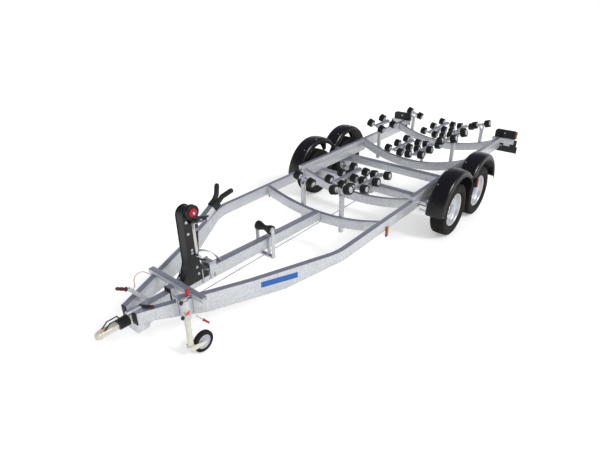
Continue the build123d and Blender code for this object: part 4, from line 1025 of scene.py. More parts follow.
# (along, radius) of a roller's nylon end, outwards
HUB_END = ((0.0, 0.0325), (0.003, 0.032), (0.0035, 0.027), (0.0015, 0.024), (0.0015, 0.017), (0.008, 0.0155),
           (0.010, 0.0135))
HUB_SINK = 0.004
SPINDLE_RADIUS = 0.0095
SPINDLE_END = 0.006
SPINDLE_NUT = (0.012, 0.005)
ARM_HALF = 0.018
ARM_WALL = 0.0035
ARM_HEIGHT = 0.038
ARM_END = 0.02
PIVOT_DROP = 0.044
PIVOT_RADIUS = 0.017
EAR_WALL = 0.006
# (back, up) from the pivot of the ears that carry a cradle's arm
EAR_OUTLINE = ((-0.05, PIVOT_DROP - 0.015), (-0.022, -0.008), (-0.012, -0.021), (0.012, -0.021),
               (0.022, -0.008), (0.05, PIVOT_DROP - 0.015))
# name of a cradle and places of its roller rows
CRADLE_ROWS = (
    ("front", (-0.255, 0.0, 0.255)),
    ("middle", (-0.258, 0.0, 0.258)),
    ("tail", (-0.322, 0.0, 0.322)),
    ("outer", (-0.156, 0.156)),
)
KEEL_HALF = 0.095
KEEL_RADIUS = 0.0455
KEEL_WAIST = 0.019
KEEL_STEPS = 24


def roller_profile(groove):
    """(along, radius) of one roller: rounded shoulders and shallow grooves."""
    half, radius, edge = ROLLER_HALF, ROLLER_RADIUS, ROLLER_SHOULDER
    shoulder = [(-half, ROLLER_BORE), (-half, radius - edge), (-half + 0.003, radius - 0.002),
                (-half + edge, radius)]
    points = list(shoulder)
    for i in range(ROLLER_GROOVES):
        middle = -half + 2 * edge + i * (2 * half - 4 * edge) / (ROLLER_GROOVES - 1)
        points += [(middle - GROOVE_HALF, radius), (middle - GROOVE_HALF / 2, radius - groove),
                   (middle + GROOVE_HALF / 2, radius - groove), (middle + GROOVE_HALF, radius)]
    return points + [(-along, reach) for along, reach in reversed(shoulder)]


def add_roller_pair(rubber, hubs, centre, axis):
    groove = bpy.context.scene.trailer_sizes.roller_groove
    for place in (-1, 1):
        middle = centre + axis * (place * ROLLER_TRACK)
        bore = ((-ROLLER_HALF, ROLLER_BORE), (ROLLER_HALF, ROLLER_BORE))
        for profile in (roller_profile(groove), bore):
            add_lathe(rubber, profile, middle, axis, 28, cap=False)
        for hand in (-1, 1):
            add_lathe(hubs, HUB_END, middle + axis * (hand * (ROLLER_HALF - HUB_SINK)), axis * hand, 24)


def make_rubber_and_hubs(body, rubber, hubs):
    make_piece(f"{body}_rubber", rubber, "roller", body, (body,), 50)
    make_piece(f"{body}_hubs", hubs, "hub", body, (), 40)


def make_cradle(body, rows):
    """A rocking arm with rows of two rollers; its pivot is the joint's axis."""
    pivot, axis = joint_place(f"{body}_rock")
    up = axis.cross(Y_AXIS).normalized()
    if up.z < 0:
        up = -up
    centre = pivot + up * PIVOT_DROP
    rubber, hubs, steel = bmesh.new(), bmesh.new(), bmesh.new()
    reach = ROLLER_TRACK + ROLLER_HALF + SPINDLE_END
    for row in rows:
        middle = centre + Y_AXIS * row
        add_roller_pair(rubber, hubs, middle, axis)
        add_lathe(steel, ((-reach, SPINDLE_RADIUS), (reach, SPINDLE_RADIUS)), middle, axis, 16)
        for hand in (-1, 1):
            add_hex(steel, middle + axis * (hand * (reach - SPINDLE_NUT[1])), axis * hand, *SPINDLE_NUT)
    along = Y_AXIS * (max(rows) + ARM_END)
    for hand in (-1, 1):
        web = centre + axis * (hand * (ARM_HALF - ARM_WALL / 2))
        add_bar(steel, web - along, web + along, ARM_WALL, ARM_HEIGHT, up)
    top = centre + up * (ARM_HEIGHT / 2 - ARM_WALL / 2)
    add_bar(steel, top - along, top + along, 2 * ARM_HALF, ARM_WALL, up)
    for hand in (-1, 1):
        start = pivot + axis * (hand * (ARM_HALF - EAR_WALL))
        add_prism(steel, EAR_OUTLINE, start, Y_AXIS, up, axis * (hand * EAR_WALL))
    add_lathe(steel, ((-ARM_HALF, PIVOT_RADIUS), (ARM_HALF, PIVOT_RADIUS)), pivot, axis, 24)
    make_rubber_and_hubs(body, rubber, hubs)
    make_piece(f"{body}_arm", steel, "zinc", body, (), 35)


def make_all_cradles():
    for label, _ in SIDES:
        for name, rows in CRADLE_ROWS:
            make_cradle(f"{name}_cradle_{label}", rows)


def make_pairs():
    for label, _ in SIDES:
        for name in ("bow", "tail"):
            body = f"{name}_rollers_{label}"
            rubber, hubs = bmesh.new(), bmesh.new()
            add_roller_pair(rubber, hubs, *joint_place(f"{body}_spin"))
            make_rubber_and_hubs(body, rubber, hubs)


def make_keel_roller():
    """Waisted keel roller with a nylon hub at each end."""
    centre, axis = joint_place("keel_roller_spin")
    end = [(-KEEL_HALF, 0.030), (-KEEL_HALF, 0.043), (-KEEL_HALF + 0.003, KEEL_RADIUS)]
    profile = list(end)
    for i in range(KEEL_STEPS + 1):
        t = -1 + 2 * i / KEEL_STEPS
        waist = KEEL_WAIST * (math.cos(math.pi * t) + 1) / 2 * (1 - abs(t) ** 3)
        profile.append((t * (KEEL_HALF - 0.006), KEEL_RADIUS - waist))
    profile += [(-along, radius) for along, radius in reversed(end)]
    make_lathe("keel_roller_rubber", profile, centre, axis, 40, "roller", "keel_roller",
               ("keel_roller",), 50)
    bm = bmesh.new()
    for hand in (-1, 1):
        end = centre + axis * (hand * KEEL_HALF)
        add_lathe(bm, ((0.0, 0.029), (0.002, 0.028), (0.002, 0.016)), end, axis * hand, 24)
    make_piece("keel_roller_hubs", bm, "hub", "keel_roller", (), 40)


# ---------------------------------------------------------------- winch post and winch
# side view of the post: station and height of the foot, the neck and the round head
POST_FOOT = (0.726, 1.026, 0.443, 0.505)
POST_NECK = (0.838, 0.942, 0.640)
POST_HEAD = (0.912, 1.052)
POST_HEAD_RADIUS = 0.075
POST_WALL = 0.006
WEB_INSET = 0.004
WEB_WALL = 0.005
WINCH_CENTRE = spot(POST_SIDE, 0.915, 1.087)
# station, half width, top and bottom of the strap
STRAP_RUN = (0.929, 0.014, 1.028, 0.705)
STRAP_STEPS = 24
STRAP_THICKNESS = 0.0024
# share of the run at which the webbing is doubled, its thickness there, and the share at which it narrows
STRAP_SEAM = 0.78
STRAP_DOUBLED = 0.0042
STRAP_EYE = 0.93
# station and height of the bolts in both cheeks
CHEEK_BOLTS = ((0.864, 1.010), (0.869, 0.907), (0.886, 0.755), (0.885, 0.728), (0.913, 0.580),
               (0.923, 0.513))
# place of the bolts in the front web and the way they face
WEB_BOLTS = ((-0.036, 0.797, 0.556), (0.0, 0.757, 0.531))
WEB_FACING = (0, -0.75, 0.66)
SADDLE_FRONT, SADDLE_BACK = 1.034, 1.106
SADDLE_BOTTOM, SADDLE_TOP = 0.452, 0.562
# stations of the U-bolts round the centre beam
BEAM_U_BOLTS = (0.961, 1.048, 1.094)
U_BOLT_LEG = 0.150
# bars: start and end as (x, station, z), width, height; pipes: points as (x, station, z), radius
ARM_ROOT_BARS = (
    ((0, 0.960, 0.962), (0, 1.040, 0.962), 0.056, 0.032),
    ((0, 0.870, 0.962), (0, 0.966, 0.962), 2 * (POST_SIDE - POST_WALL), 0.046),
)
SADDLE_BRIDGE = (((0, SADDLE_FRONT, SADDLE_TOP - 0.010), (0, SADDLE_BACK, SADDLE_TOP - 0.022),
                  2 * BEAM_HALF + 0.031, 0.004),)
COLLAR_BARS = (((0, 1.170, 1.012), (0, 1.226, 1.046), 0.066, 0.066),)
PULL_ROD = (((0.0, 0.925, 0.640), (0.030, 1.022, 0.590)), 0.008)
PULL_SLEEVE = ((0.0, 0.010), (0.004, 0.014), (0.044, 0.014), (0.048, 0.010))
PULL_SLEEVE_PLACE = spot(-0.005, 0.962, 0.642)
PULL_SLEEVE_WAY = Vector((0.0, 0.045, -0.030)).normalized()
# (along, radius) of the winch, outwards from the cheek
WINCH_CASE = (
    (0.0, 0.056), (0.0, 0.061), (0.002, 0.062), (0.008, 0.062), (0.009, 0.058), (0.024, 0.058),
    (0.025, 0.062), (0.031, 0.062), (0.034, 0.059), (0.034, 0.054), (0.030, 0.051), (0.029, 0.044),
    (0.031, 0.038), (0.031, 0.001),
)
WINCH_KNOB = (
    (0.028, 0.033), (0.031, 0.0355), (0.040, 0.0355), (0.0435, 0.033), (0.0445, 0.028), (0.041, 0.024),
    (0.0405, 0.016), (0.045, 0.013), (0.046, 0.010), (0.046, 0.001),
)
KNOB_RIB_FACE = 0.0425
KNOB_RIB_REACH = (0.014, 0.029)
# ends of the crank, from the winch's centre
CRANK_ENDS = ((0.050, -0.010, -0.034), (0.050, 0.112, -0.074))
CLUTCH_BARS = (((0.062, 0.895, 1.012), (0.062, 1.045, 0.985), 0.030, 0.016),)
CLUTCH_PIPES = ((((0.074, 0.935, 1.030), (0.074, 1.062, 1.000)), 0.009),)
# places of the winch's nuts: on the knob, on the case and on the clutch bar
WINCH_NUTS = (WINCH_CENTRE + Vector((0.046, 0, 0)), WINCH_CENTRE + Vector((0.034, 0.012, -0.044)),
              spot(0.078, 0.985, 1.004))


def add_u_bolt(bm, centre, half, drop, radius):
    """U-bolt astride a bar: crown at centre, legs of length drop, a nut near each end."""
    bend = half * 0.5
    left = arc_points(centre + Vector((-half + bend, 0, -bend)), X_AXIS, Z_AXIS, bend, 180, 90, 5)
    right = arc_points(centre + Vector((half - bend, 0, -bend)), X_AXIS, Z_AXIS, bend, 90, 0, 5)
    start, end = (centre + Vector((side * half, 0, -drop)) for side in (-1, 1))
    add_pipe(bm, [start] + left + right + [end], radius, 10)
    for foot in (start, end):
        add_hex(bm, foot + Z_AXIS * 0.008, Z_AXIS, radius * 1.9, 0.007)


def curve_through(start, middle, end, steps):
    """Points on the circle arc through three (station, z) points, the first left out."""
    (ax, ay), (bx, by), (cx, cy) = start, middle, end
    a, b, c = ax * ax + ay * ay, bx * bx + by * by, cx * cx + cy * cy
    d = 2 * (ax * (by - cy) + bx * (cy - ay) + cx * (ay - by))
    ux = (a * (by - cy) + b * (cy - ay) + c * (ay - by)) / d
    uy = (a * (cx - bx) + b * (ax - cx) + c * (bx - ax)) / d
    radius = math.hypot(ax - ux, ay - uy)
    first = math.atan2(ay - uy, ax - ux)
    sweep = (math.atan2(cy - uy, cx - ux) - first) % (2 * math.pi)
    if (math.atan2(by - uy, bx - ux) - first) % (2 * math.pi) >= sweep:
        sweep -= 2 * math.pi
    angles = [first + sweep * i / steps for i in range(1, steps + 1)]
    return [(ux + radius * math.cos(t), uy + radius * math.sin(t)) for t in angles]


def post_front():
    """Front edge of the post from its foot up over the head's crown."""
    start, _, low, foot = POST_FOOT
    neck0, _, neck_z = POST_NECK
    head, head_z = POST_HEAD
    third = (neck0 - start) / 3
    points = [(start, low), (start, foot - 0.024)]
    points += curve_through(points[-1], (neck0 - third, foot + 0.044), (neck0, neck_z), 10)
    points.append((head - POST_HEAD_RADIUS, head_z))
    crown, back = (head, head_z + POST_HEAD_RADIUS), (head + POST_HEAD_RADIUS, head_z)
    return points + curve_through(points[-1], crown, back, 24)


def post_back():
    """Back edge of the post from the head down to its foot."""
    _, end, low, foot = POST_FOOT
    neck0, neck1, neck_z = POST_NECK
    third = (neck1 - neck0) / 3
    points = [(neck1, neck_z)]
    points += curve_through(points[-1], (neck1 + third, foot + 0.034), (end - 0.040, foot + 0.006), 10)
    return points + [(end, foot - 0.010), (end, low)]


def make_post():
    """Pressed post: two cheeks astride the beam and a web round their front edge and crown."""
    bm = bmesh.new()
    reach = POST_SIDE - POST_WALL
    front, back = post_front(), post_back()
    points = [(y_at(station), z) for station, z in front + back]
    for side in (-1, 1):
        add_prism(bm, points, X_AXIS * (side * reach), Y_AXIS, Z_AXIS, X_AXIS * (side * POST_WALL))
    round_edges(bm, 0.0022, FOLD_ANGLE)
    web = front[2:-6]
    rings = []
    for index, (station, z) in enumerate(web):
        before, after = web[max(index - 1, 0)], web[min(index + 1, len(web) - 1)]
        way = Vector((0, after[0] - before[0], after[1] - before[1])).normalized()
        inward = Vector((0, way.z, -way.y))
        edge = spot(0, station, z) + inward * WEB_INSET
        inset = inward * WEB_WALL
        rings.append([edge - X_AXIS * reach, edge + X_AXIS * reach, edge + X_AXIS * reach + inset,
                      edge - X_AXIS * reach + inset])
    add_rings(bm, rings)
    make_piece("post_pressing", bm, "paint", "chassis", ("winch_post",), 30)
    bm = bmesh.new()
    add_bars(bm, ARM_ROOT_BARS)
    round_edges(bm, 0.003)
    make_piece("bow_arm_root", bm, "zinc", "chassis")


def make_post_fittings():
    spots = [(spot(side * POST_SIDE, *place), (side, 0, 0)) for place in CHEEK_BOLTS for _, side in SIDES]
    spots += [(spot(*place), WEB_FACING) for place in WEB_BOLTS]
    make_bolts("post_bolts", spots, "chassis", "bright", 0.8)
    rod_radius = bpy.context.scene.trailer_sizes.u_bolt_radius
    bm = bmesh.new()
    for station in BEAM_U_BOLTS:
        add_u_bolt(bm, spot(0, station, SADDLE_TOP - 0.018), BEAM_HALF + 0.0065, U_BOLT_LEG, rod_radius)
    make_piece("beam_u_bolts", bm, "bright", "chassis")
    bm = bmesh.new()
    for side in (-1, 1):
        add_sided_block(bm, (BEAM_HALF + 0.0115, y_at(SADDLE_FRONT), SADDLE_BOTTOM),
                        (BEAM_HALF + 0.0155, y_at(SADDLE_BACK), SADDLE_TOP), side)
    add_bars(bm, SADDLE_BRIDGE)
    round_edges(bm, 0.001)
    make_piece("stay_saddle", bm, "zinc", "chassis")
    bm = bmesh.new()
    add_pipes(bm, (PULL_ROD,))
    make_piece("pull_rod", bm, "paint", "chassis")
    make_lathe("pull_sleeve", PULL_SLEEVE, PULL_SLEEVE_PLACE, PULL_SLEEVE_WAY, 20, "hub", "chassis",
               sharp=32)
    bm = bmesh.new()
    add_bars(bm, COLLAR_BARS)
    round_edges(bm, 0.006)
    make_piece("bow_stop_collar", bm, "soft", "chassis")


def make_winch():
    """Winch drum case with its red clutch knob, crank stub and the bracket under it."""
    centre = WINCH_CENTRE
    bm = bmesh.new()
    add_lathe(bm, WINCH_CASE, centre, X_AXIS, 56)
    for side in (-1, 1):
        start = centre + Vector((0.010, side * 0.020, -0.058))
        add_bar(bm, start, start - Z_AXIS * 0.034, 0.018, 0.004, Y_AXIS)
    make_piece("winch_case", bm, "paint", "chassis", ("winch",), 40)
    bm = bmesh.new()
    add_lathe(bm, WINCH_KNOB, centre, X_AXIS, 48)
    for t in turns(8):
        inner, outer = (centre + X_AXIS * KNOB_RIB_FACE + ray_at(t) * reach for reach in KNOB_RIB_REACH)
        add_bar(bm, inner, outer, 0.005, 0.004, X_AXIS)
    make_piece("winch_knob", bm, "red", "chassis", (), 40)
    bm = bmesh.new()
    start, end = (centre + Vector(place) for place in CRANK_ENDS)
    add_bar(bm, start, end, 0.006, 0.022)
    add_bars(bm, CLUTCH_BARS)
    add_pipes(bm, CLUTCH_PIPES)
    round_edges(bm, 0.0015)
    make_piece("winch_crank", bm, "paint", "chassis", (), 40)
    nuts = [(place, X_AXIS) for place in WINCH_NUTS]
    make_bolts("winch_nuts", nuts, "chassis", "bright", 0.75)


def make_strap_fittings():
    """Buckle bar and ring at the top of the strap, hook at its lower end."""
    bm = bmesh.new()
    add_bar(bm, spot(0.057, 0.925, 0.982), spot(0.057, 0.927, 0.936), 0.014, 0.008, X_AXIS)
    add_pipe(bm, (spot(0.057, 0.932, 0.984), spot(0.057, 0.966, 0.966)), 0.005)
    add_pipe(bm, arc_points(spot(0.056, 0.953, 0.920), Y_AXIS, Z_AXIS, 0.011, 0, 345, 16), 0.003, 8)
    hook = arc_points(spot(0.053, 0.929, 0.690), Y_AXIS, Z_AXIS, 0.013, 90, -190, 14)
    add_pipe(bm, [spot(0.053, 0.929, 0.722)] + hook, 0.0045, 10)
    make_piece("strap_fittings", bm, "bright", "chassis", (), 40)


def make_strap():
    """Flat webbing pulled taut down the cheek, doubled and sewn at its eye."""
    bm = bmesh.new()
    station, half, top, bottom = STRAP_RUN
    rings = []
    for i in range(STRAP_STEPS + 1):
        share = i / STRAP_STEPS
        z = top + (bottom - top) * share
        thick = STRAP_DOUBLED if share > STRAP_SEAM else STRAP_THICKNESS
        x = POST_SIDE + 0.0006 + 0.0004 * math.sin(9 * share)
        width = half * (1.0 - 3.0 * max(0.0, share - STRAP_EYE))
        section = ((0, -1), (0.4, -1), (1, -0.9), (1, 0.9), (0.4, 1), (0, 1))
        rings.append([Vector((x + thick * out, y_at(station) + width * across, z))
                      for out, across in section])
    add_rings(bm, rings)
    make_piece("strap_webbing_run", bm, "webbing", "chassis", ("winch_strap",), 60)


# ---------------------------------------------------------------- coupling and levers
BELLOWS_LOW, BELLOWS_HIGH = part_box("shaft_bellows")
BELLOWS_RIBS = 6
BELLOWS_STEPS = 8
BELLOWS_WAIST = 0.0345
BELLOWS_BORE = 0.026
# pivot, elbow, start of the grip and tip of the brake lever
BRAKE_LEVER = tuple(spot(-0.049, *place) for place in (
    (0.490, 0.446), (0.350, 0.628), (0.328, 0.6414), (0.248, 0.690)))
RELEASE_LEVER = tuple(spot(*place) for place in (
    (0.046, 0.240, 0.519), (0.058, 0.358, 0.519), (0.140, 0.412, 0.519)))
RELEASE_FOOT = ((0.0352, y_at(0.300), 0.434), (0.057, y_at(0.340), 0.512))
RELEASE_TIP = ((-0.026, 0.0132), (-0.006, 0.0132), (0.003, 0.009), (0.005, 0.002))
PIVOT_HUB = ((-0.014, 0.0125), (0.012, 0.0125), (0.014, 0.0105))
CHEEK_OFFSET = 0.009
GRIP_WAVES = 12
HANDLE_TIPS = (-0.019, 0.019)


def make_bellows():
    """Folded rubber sleeve: rounded crests and narrow waists, wider towards the housing."""
    length = BELLOWS_HIGH.y - BELLOWS_LOW.y
    centre = Vector((0, BELLOWS_LOW.y, (BELLOWS_LOW.z + BELLOWS_HIGH.z) / 2))
    swell = (BELLOWS_HIGH.z - BELLOWS_LOW.z) / 2 - BELLOWS_WAIST
    steps = BELLOWS_RIBS * BELLOWS_STEPS
    profile = [(0.0, BELLOWS_BORE)]
    for i in range(steps + 1):
        share = i / steps
        fold = abs(math.sin(math.pi * BELLOWS_RIBS * share)) ** 0.7
        profile.append((length * share, BELLOWS_WAIST + swell * fold * (0.78 + 0.22 * share)))
    profile.append((length, BELLOWS_BORE))
    make_lathe("rubber_bellows", profile, centre, Y_AXIS, 36, "soft", "chassis",
               ("shaft_bellows",), 60)
    bm = bmesh.new()
    for along, radius in ((0.001, 0.038), (length - 0.007, 0.041)):
        add_lathe(bm, ((0, radius), (0.006, radius)), centre + Y_AXIS * along, Y_AXIS, 28)
    make_piece("bellows_clips", bm, "bright", "chassis", (), 40)


def make_grip(name, finish, start, end, radius):
    """Moulded hand grip: a collar, finger waves and a pointed end."""
    length = (end - start).length
    profile = [(0.0, radius * 1.28), (0.004, radius * 1.28), (0.007, radius)]
    for i in range(1, GRIP_WAVES + 1):
        share = i / (GRIP_WAVES + 1)
        wave = radius * (0.94 + 0.08 * math.cos(4 * math.pi * share))
        profile.append((0.007 + (length - 0.024) * share, wave))
    profile += [(length - 0.012, radius * 0.9), (length - 0.004, radius * 0.6), (length, radius * 0.2)]
    make_lathe(name, profile, start, (end - start).normalized(), 20, finish, "chassis")


def make_levers():
    pivot, elbow, grip, tip = BRAKE_LEVER
    low, middle, back = RELEASE_LEVER
    run, along = (elbow - pivot).normalized(), (back - middle).normalized()
    bm = bmesh.new()
    for side in (-1, 1):
        cheek = X_AXIS * (side * CHEEK_OFFSET)
        add_bar(bm, pivot + cheek - run * 0.012, elbow + cheek + run * 0.008, 0.003, 0.030)
    add_bar(bm, pivot + Z_AXIS * 0.010, elbow + Z_AXIS * 0.010, 2 * CHEEK_OFFSET, 0.003)
    add_bar(bm, elbow - (grip - elbow).normalized() * 0.006, grip, 0.019, 0.017)
    add_bar(bm, low, middle, 0.026, 0.020)
    add_block(bm, *RELEASE_FOOT)
    round_edges(bm, 0.0015)
    make_piece("lever_arms", bm, "zinc", "chassis", ("hand_levers",), 35)
    bm = bmesh.new()
    add_lathe(bm, PIVOT_HUB, pivot, -X_AXIS, 24)
    add_hex(bm, pivot - X_AXIS * 0.013, -X_AXIS, 0.009, 0.006)
    make_piece("lever_pins", bm, "bright", "chassis", (), 40)
    make_grip("brake_grip", "dark_red", grip, tip, 0.0145)
    make_grip("release_grip", "soft", middle - along * 0.006, back - along * 0.018, 0.0135)
    make_lathe("release_tip", RELEASE_TIP, back, along, 20, "dark_red", "chassis")
    bm = bmesh.new()
    bend = [math.pi / 10 * i for i in range(6)]
    dome = [(0.007 * math.sin(t), 0.0075 * max(math.cos(t), 0.02)) for t in bend]
    for x in HANDLE_TIPS:
        add_lathe(bm, dome, spot(x, 0.070, 0.449), Vector((0, -0.8, 0.6)), 16)
    make_piece("handle_tips", bm, "red", "chassis", (), 40)


# ---------------------------------------------------------------- jockey wheel
JOCKEY_LOW, JOCKEY_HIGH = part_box("jockey_tube")
JOCKEY_RADIUS = (JOCKEY_HIGH.x - JOCKEY_LOW.x) / 2
JOCKEY_FOOT = Vector((JOCKEY_LOW.x + JOCKEY_RADIUS, JOCKEY_LOW.y + JOCKEY_RADIUS, 0))
JOCKEY_TOP = 0.580
JOCKEY_BORE_TOP = 0.520
JOCKEY_WALL = 0.003
JOCKEY_BAND = 0.0008
JOCKEY_KNOB_RADIUS = 0.017
JOCKEY_KNOB = (
    (0.008, 0.011), (0.011, 0.0135), (0.020, 0.0125), (0.036, 0.0142), (0.050, 0.0165), (0.058, 0.0155),
    (0.0625, 0.011), (0.064, 0.002),
)
# place, low and high end of the two U-bolts that hold the clamp to the rail
CLAMP_RODS = ((0.228, 0.560, 0.385, 0.560), (0.277, 0.672, 0.372, 0.532))
CLAMP_ROD_RADIUS = 0.0055
CLAMP_LEG = 0.055
# how far in from the outer face and from the end each point of a U-bolt's corner lies
CLAMP_CORNER = ((0.010, 0.0), (0.003, 0.003), (0.0, 0.010))
# points as (x, station, z), radius: handle of the clamp and rod of its spring
CLAMP_PIPES = (
    (((0.335, 0.640, 0.392), (0.342, 0.701, 0.314)), 0.005),
    (((0.378, 0.688, 0.556), (0.378, 0.688, 0.470)), 0.0035),
)
CLAMP_GRIP = (spot(0.341, 0.695, 0.321), spot(0.350, 0.744, 0.262))
CLAMP_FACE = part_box("jockey_clamp")[1].x
CLAMP_KNOBS = ((0.520, 0.583), (0.514, 0.449))
CLAMP_KNOB = ((0.0, 0.007), (0.006, 0.007), (0.008, 0.015), (0.017, 0.016), (0.021, 0.012))
BLANK_TRIANGLE = ((0.531, 0.456), (0.580, 0.492), (0.576, 0.449))
# (along, radius) of one side of the jockey wheel's tyre and of its rim
JOCKEY_TYRE_SIDE = (
    (0.0180, 0.0622), (0.0215, 0.0662), (0.0235, 0.0732), (0.0235, 0.079), (0.0215, 0.087), (0.0165, 0.092),
    (0.009, 0.0944),
)
JOCKEY_RIM_SIDE = (
    (0.0, 0.0615), (0.0175, 0.0615), (0.0175, 0.055), (0.009, 0.052), (0.0065, 0.046), (0.0065, 0.024),
    (0.010, 0.020), (0.021, 0.0175), (0.0215, 0.0065),
)
JOCKEY_SPOKES = 8
JOCKEY_SPOKE_FACE = 0.011
JOCKEY_SPOKE_REACH = (0.019, 0.053)


def make_jockey_tube():
    radius, low, top = JOCKEY_RADIUS, JOCKEY_LOW.z, JOCKEY_TOP
    waist = radius - JOCKEY_BAND
    profile = (
        (JOCKEY_BORE_TOP, 0.001), (JOCKEY_BORE_TOP, radius - JOCKEY_WALL), (low, radius - JOCKEY_WALL),
        (low, radius),
        (low + 0.012, radius), (low + 0.014, waist), (top - 0.034, waist), (top - 0.032, radius),
        (top - 0.004, radius), (top, radius - 0.005), (top + 0.002, 0.008), (top + 0.002, 0.001),
    )
    bm = bmesh.new()
    add_lathe(bm, profile, JOCKEY_FOOT, Z_AXIS, 40, cap=False)
    make_piece("jockey_outer_tube", bm, "yellow", "jockey_tube", ("jockey_tube",), 40)
    bm = bmesh.new()
    cap = JOCKEY_FOOT + Z_AXIS * top
    knob = Vector((JOCKEY_FOOT.x, JOCKEY_HIGH.y - JOCKEY_KNOB_RADIUS, top))
    lift = Z_AXIS * 0.005
    add_bar(bm, cap - Y_AXIS * 0.012 + lift, knob + Y_AXIS * 0.010 + lift, 0.022, 0.006)
    add_hex(bm, cap + Z_AXIS * 0.008, Z_AXIS, 0.010, 0.006)
    round_edges(bm, 0.001)
    make_piece("jockey_crank", bm, "bright", "jockey_tube", (), 35)
    make_lathe("jockey_knob", JOCKEY_KNOB, knob, Z_AXIS, 28, "red", "jockey_tube", sharp=50)


def make_jockey_clamp():
    bm = bmesh.new()
    for x, station, low, high in CLAMP_RODS:
        upper = [spot(x - inward, station, high - down) for inward, down in CLAMP_CORNER]
        lower = [spot(x - inward, station, low + up) for inward, up in reversed(CLAMP_CORNER)]
        start, end = (spot(x - CLAMP_LEG, station, z) for z in (high, low))
        add_pipe(bm, [start] + upper + lower + [end], CLAMP_ROD_RADIUS)
    add_pipes(bm, CLAMP_PIPES)
    make_piece("clamp_bolts", bm, "bright", "chassis", (), 40)
    bm = bmesh.new()
    for station, z in CLAMP_KNOBS:
        add_lathe(bm, CLAMP_KNOB, spot(CLAMP_FACE - 0.016, station, z), X_AXIS, 20)
        face = spot(CLAMP_FACE - 0.002, station, z)
        add_bar(bm, face - Z_AXIS * 0.017, face + Z_AXIS * 0.017, 0.014, 0.008, X_AXIS)
    make_piece("clamp_knobs", bm, "soft", "chassis", (), 40)
    make_grip("clamp_grip", "red", *CLAMP_GRIP, 0.0095)
    bm = bmesh.new()
    corners = [(y_at(station), z) for station, z in BLANK_TRIANGLE]
    add_prism(bm, corners, X_AXIS * (CLAMP_FACE + 0.0003), Y_AXIS, Z_AXIS, X_AXIS * 0.0012)
    make_piece("blank_triangle", bm, "orange", "chassis", (), 40)


def make_jockey_wheel():
    centre, axis = joint_place("jockey_wheel_spin")
    loop = JOCKEY_TYRE_SIDE + tuple((-along, radius) for along, radius in reversed(JOCKEY_TYRE_SIDE))
    make_lathe("jockey_tyre_ring", loop, centre, axis, 56, "tyre", "jockey_wheel", ("jockey_tyre",),
               60, closed=True)
    bm = bmesh.new()
    for hand in (-1, 1):
        add_lathe(bm, JOCKEY_RIM_SIDE, centre, axis * hand, 48, cap=False)
        for t in turns(JOCKEY_SPOKES):
            middle = centre + axis * (hand * JOCKEY_SPOKE_FACE)
            inner, outer = (middle + ray_at(t) * reach for reach in JOCKEY_SPOKE_REACH)
            add_bar(bm, inner, outer, 0.0035, 0.010, axis)
    make_piece("jockey_wheel_rim", bm, "jockey_rim", "jockey_wheel", ("jockey_rim",), 40)


# ---------------------------------------------------------------- lamps, markers and flaps
LAMP_LOW, LAMP_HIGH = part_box("lamp_housings")
FLAP_LOW, FLAP_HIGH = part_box("splash_flaps")
LAMP_INNER = 0.690
LENS_LOW, LENS_HIGH = LAMP_LOW.z + 0.012, LAMP_HIGH.z - 0.012
LENS_DEPTH = 0.0115
FLAP_INNER = 0.734
FLAP_GROWTH = 0.018
FLAP_SHEET = 0.0044
# pieces of both lamps: name, finish, slot, replaced nodes, corners of the blocks on the left side
LAMP_PIECES = (
    ("tail_lenses", "red_lens", "red_lens", ("lamp_lenses",), (
        ((LAMP_INNER + 0.012, LAMP_HIGH.y, LENS_LOW),
         (LAMP_HIGH.x - 0.080, LAMP_HIGH.y + LENS_DEPTH, LENS_HIGH)),
        ((LAMP_HIGH.x - 0.118, LAMP_LOW.y - 0.0025, 0.596),
         (LAMP_HIGH.x - 0.070, LAMP_LOW.y - 0.0002, 0.626)),
    )),
    ("turn_lenses", "amber", "amber_lens", (), (
        ((LAMP_HIGH.x - 0.078, LAMP_HIGH.y, LENS_LOW),
         (LAMP_HIGH.x + LENS_DEPTH, LAMP_HIGH.y + LENS_DEPTH, LENS_HIGH)),
        ((LAMP_HIGH.x, LAMP_HIGH.y - 0.022, LENS_LOW),
         (LAMP_HIGH.x + LENS_DEPTH, LAMP_HIGH.y + 0.0015, LENS_HIGH - 0.030)),
    )),
    ("lamp_covers", "paint", "black_paint", (), (
        ((LAMP_INNER + 0.018, LAMP_LOW.y - 0.004, LAMP_LOW.z + 0.020),
         (LAMP_HIGH.x - 0.020, LAMP_LOW.y + 0.001, LAMP_HIGH.z - 0.020)),
    )),
    ("lamp_brackets", "zinc", "galvanised", (), (
        ((0.838, LAMP_LOW.y - 0.010, 0.478), (0.925, LAMP_LOW.y - 0.0062, 0.590)),
    )),
)
# (x, station, z) on the left side
LAMP_BOLTS = ((0.829, 5.952, 0.654), (0.868, 5.946, 0.534), (0.815, 5.930, 0.540), (0.800, 5.956, 0.470))
MARKER_LENGTH = 0.042
MARKER_HEIGHT = 0.106
MARKER_SPLIT = 0.46
MARKER_RIM = 0.003
# side markers: inner face, station, bottom, thickness of the backing, whole depth
MARKERS = (
    (RAIL_SIDE, 2.682, 0.354, 0.004, 0.016),
    (FENDER_CENTRE + FENDER_HALF, 4.182, 0.476, 0.022, 0.036),
)


def make_lamps():
    for name, finish, slot, replaces, blocks in LAMP_PIECES:
        bm = bmesh.new()
        for _, side in SIDES:
            for low, high in blocks:
                add_sided_block(bm, low, high, side)
        round_edges(bm, 0.0008)
        make_piece(name, bm, finish, "chassis", replaces)
    spots = [(spot(side * x, station, z), (0, -1, 0)) for _, side in SIDES for x, station, z in LAMP_BOLTS]
    make_bolts("lamp_bolts", spots, "chassis", "bright", 0.8)


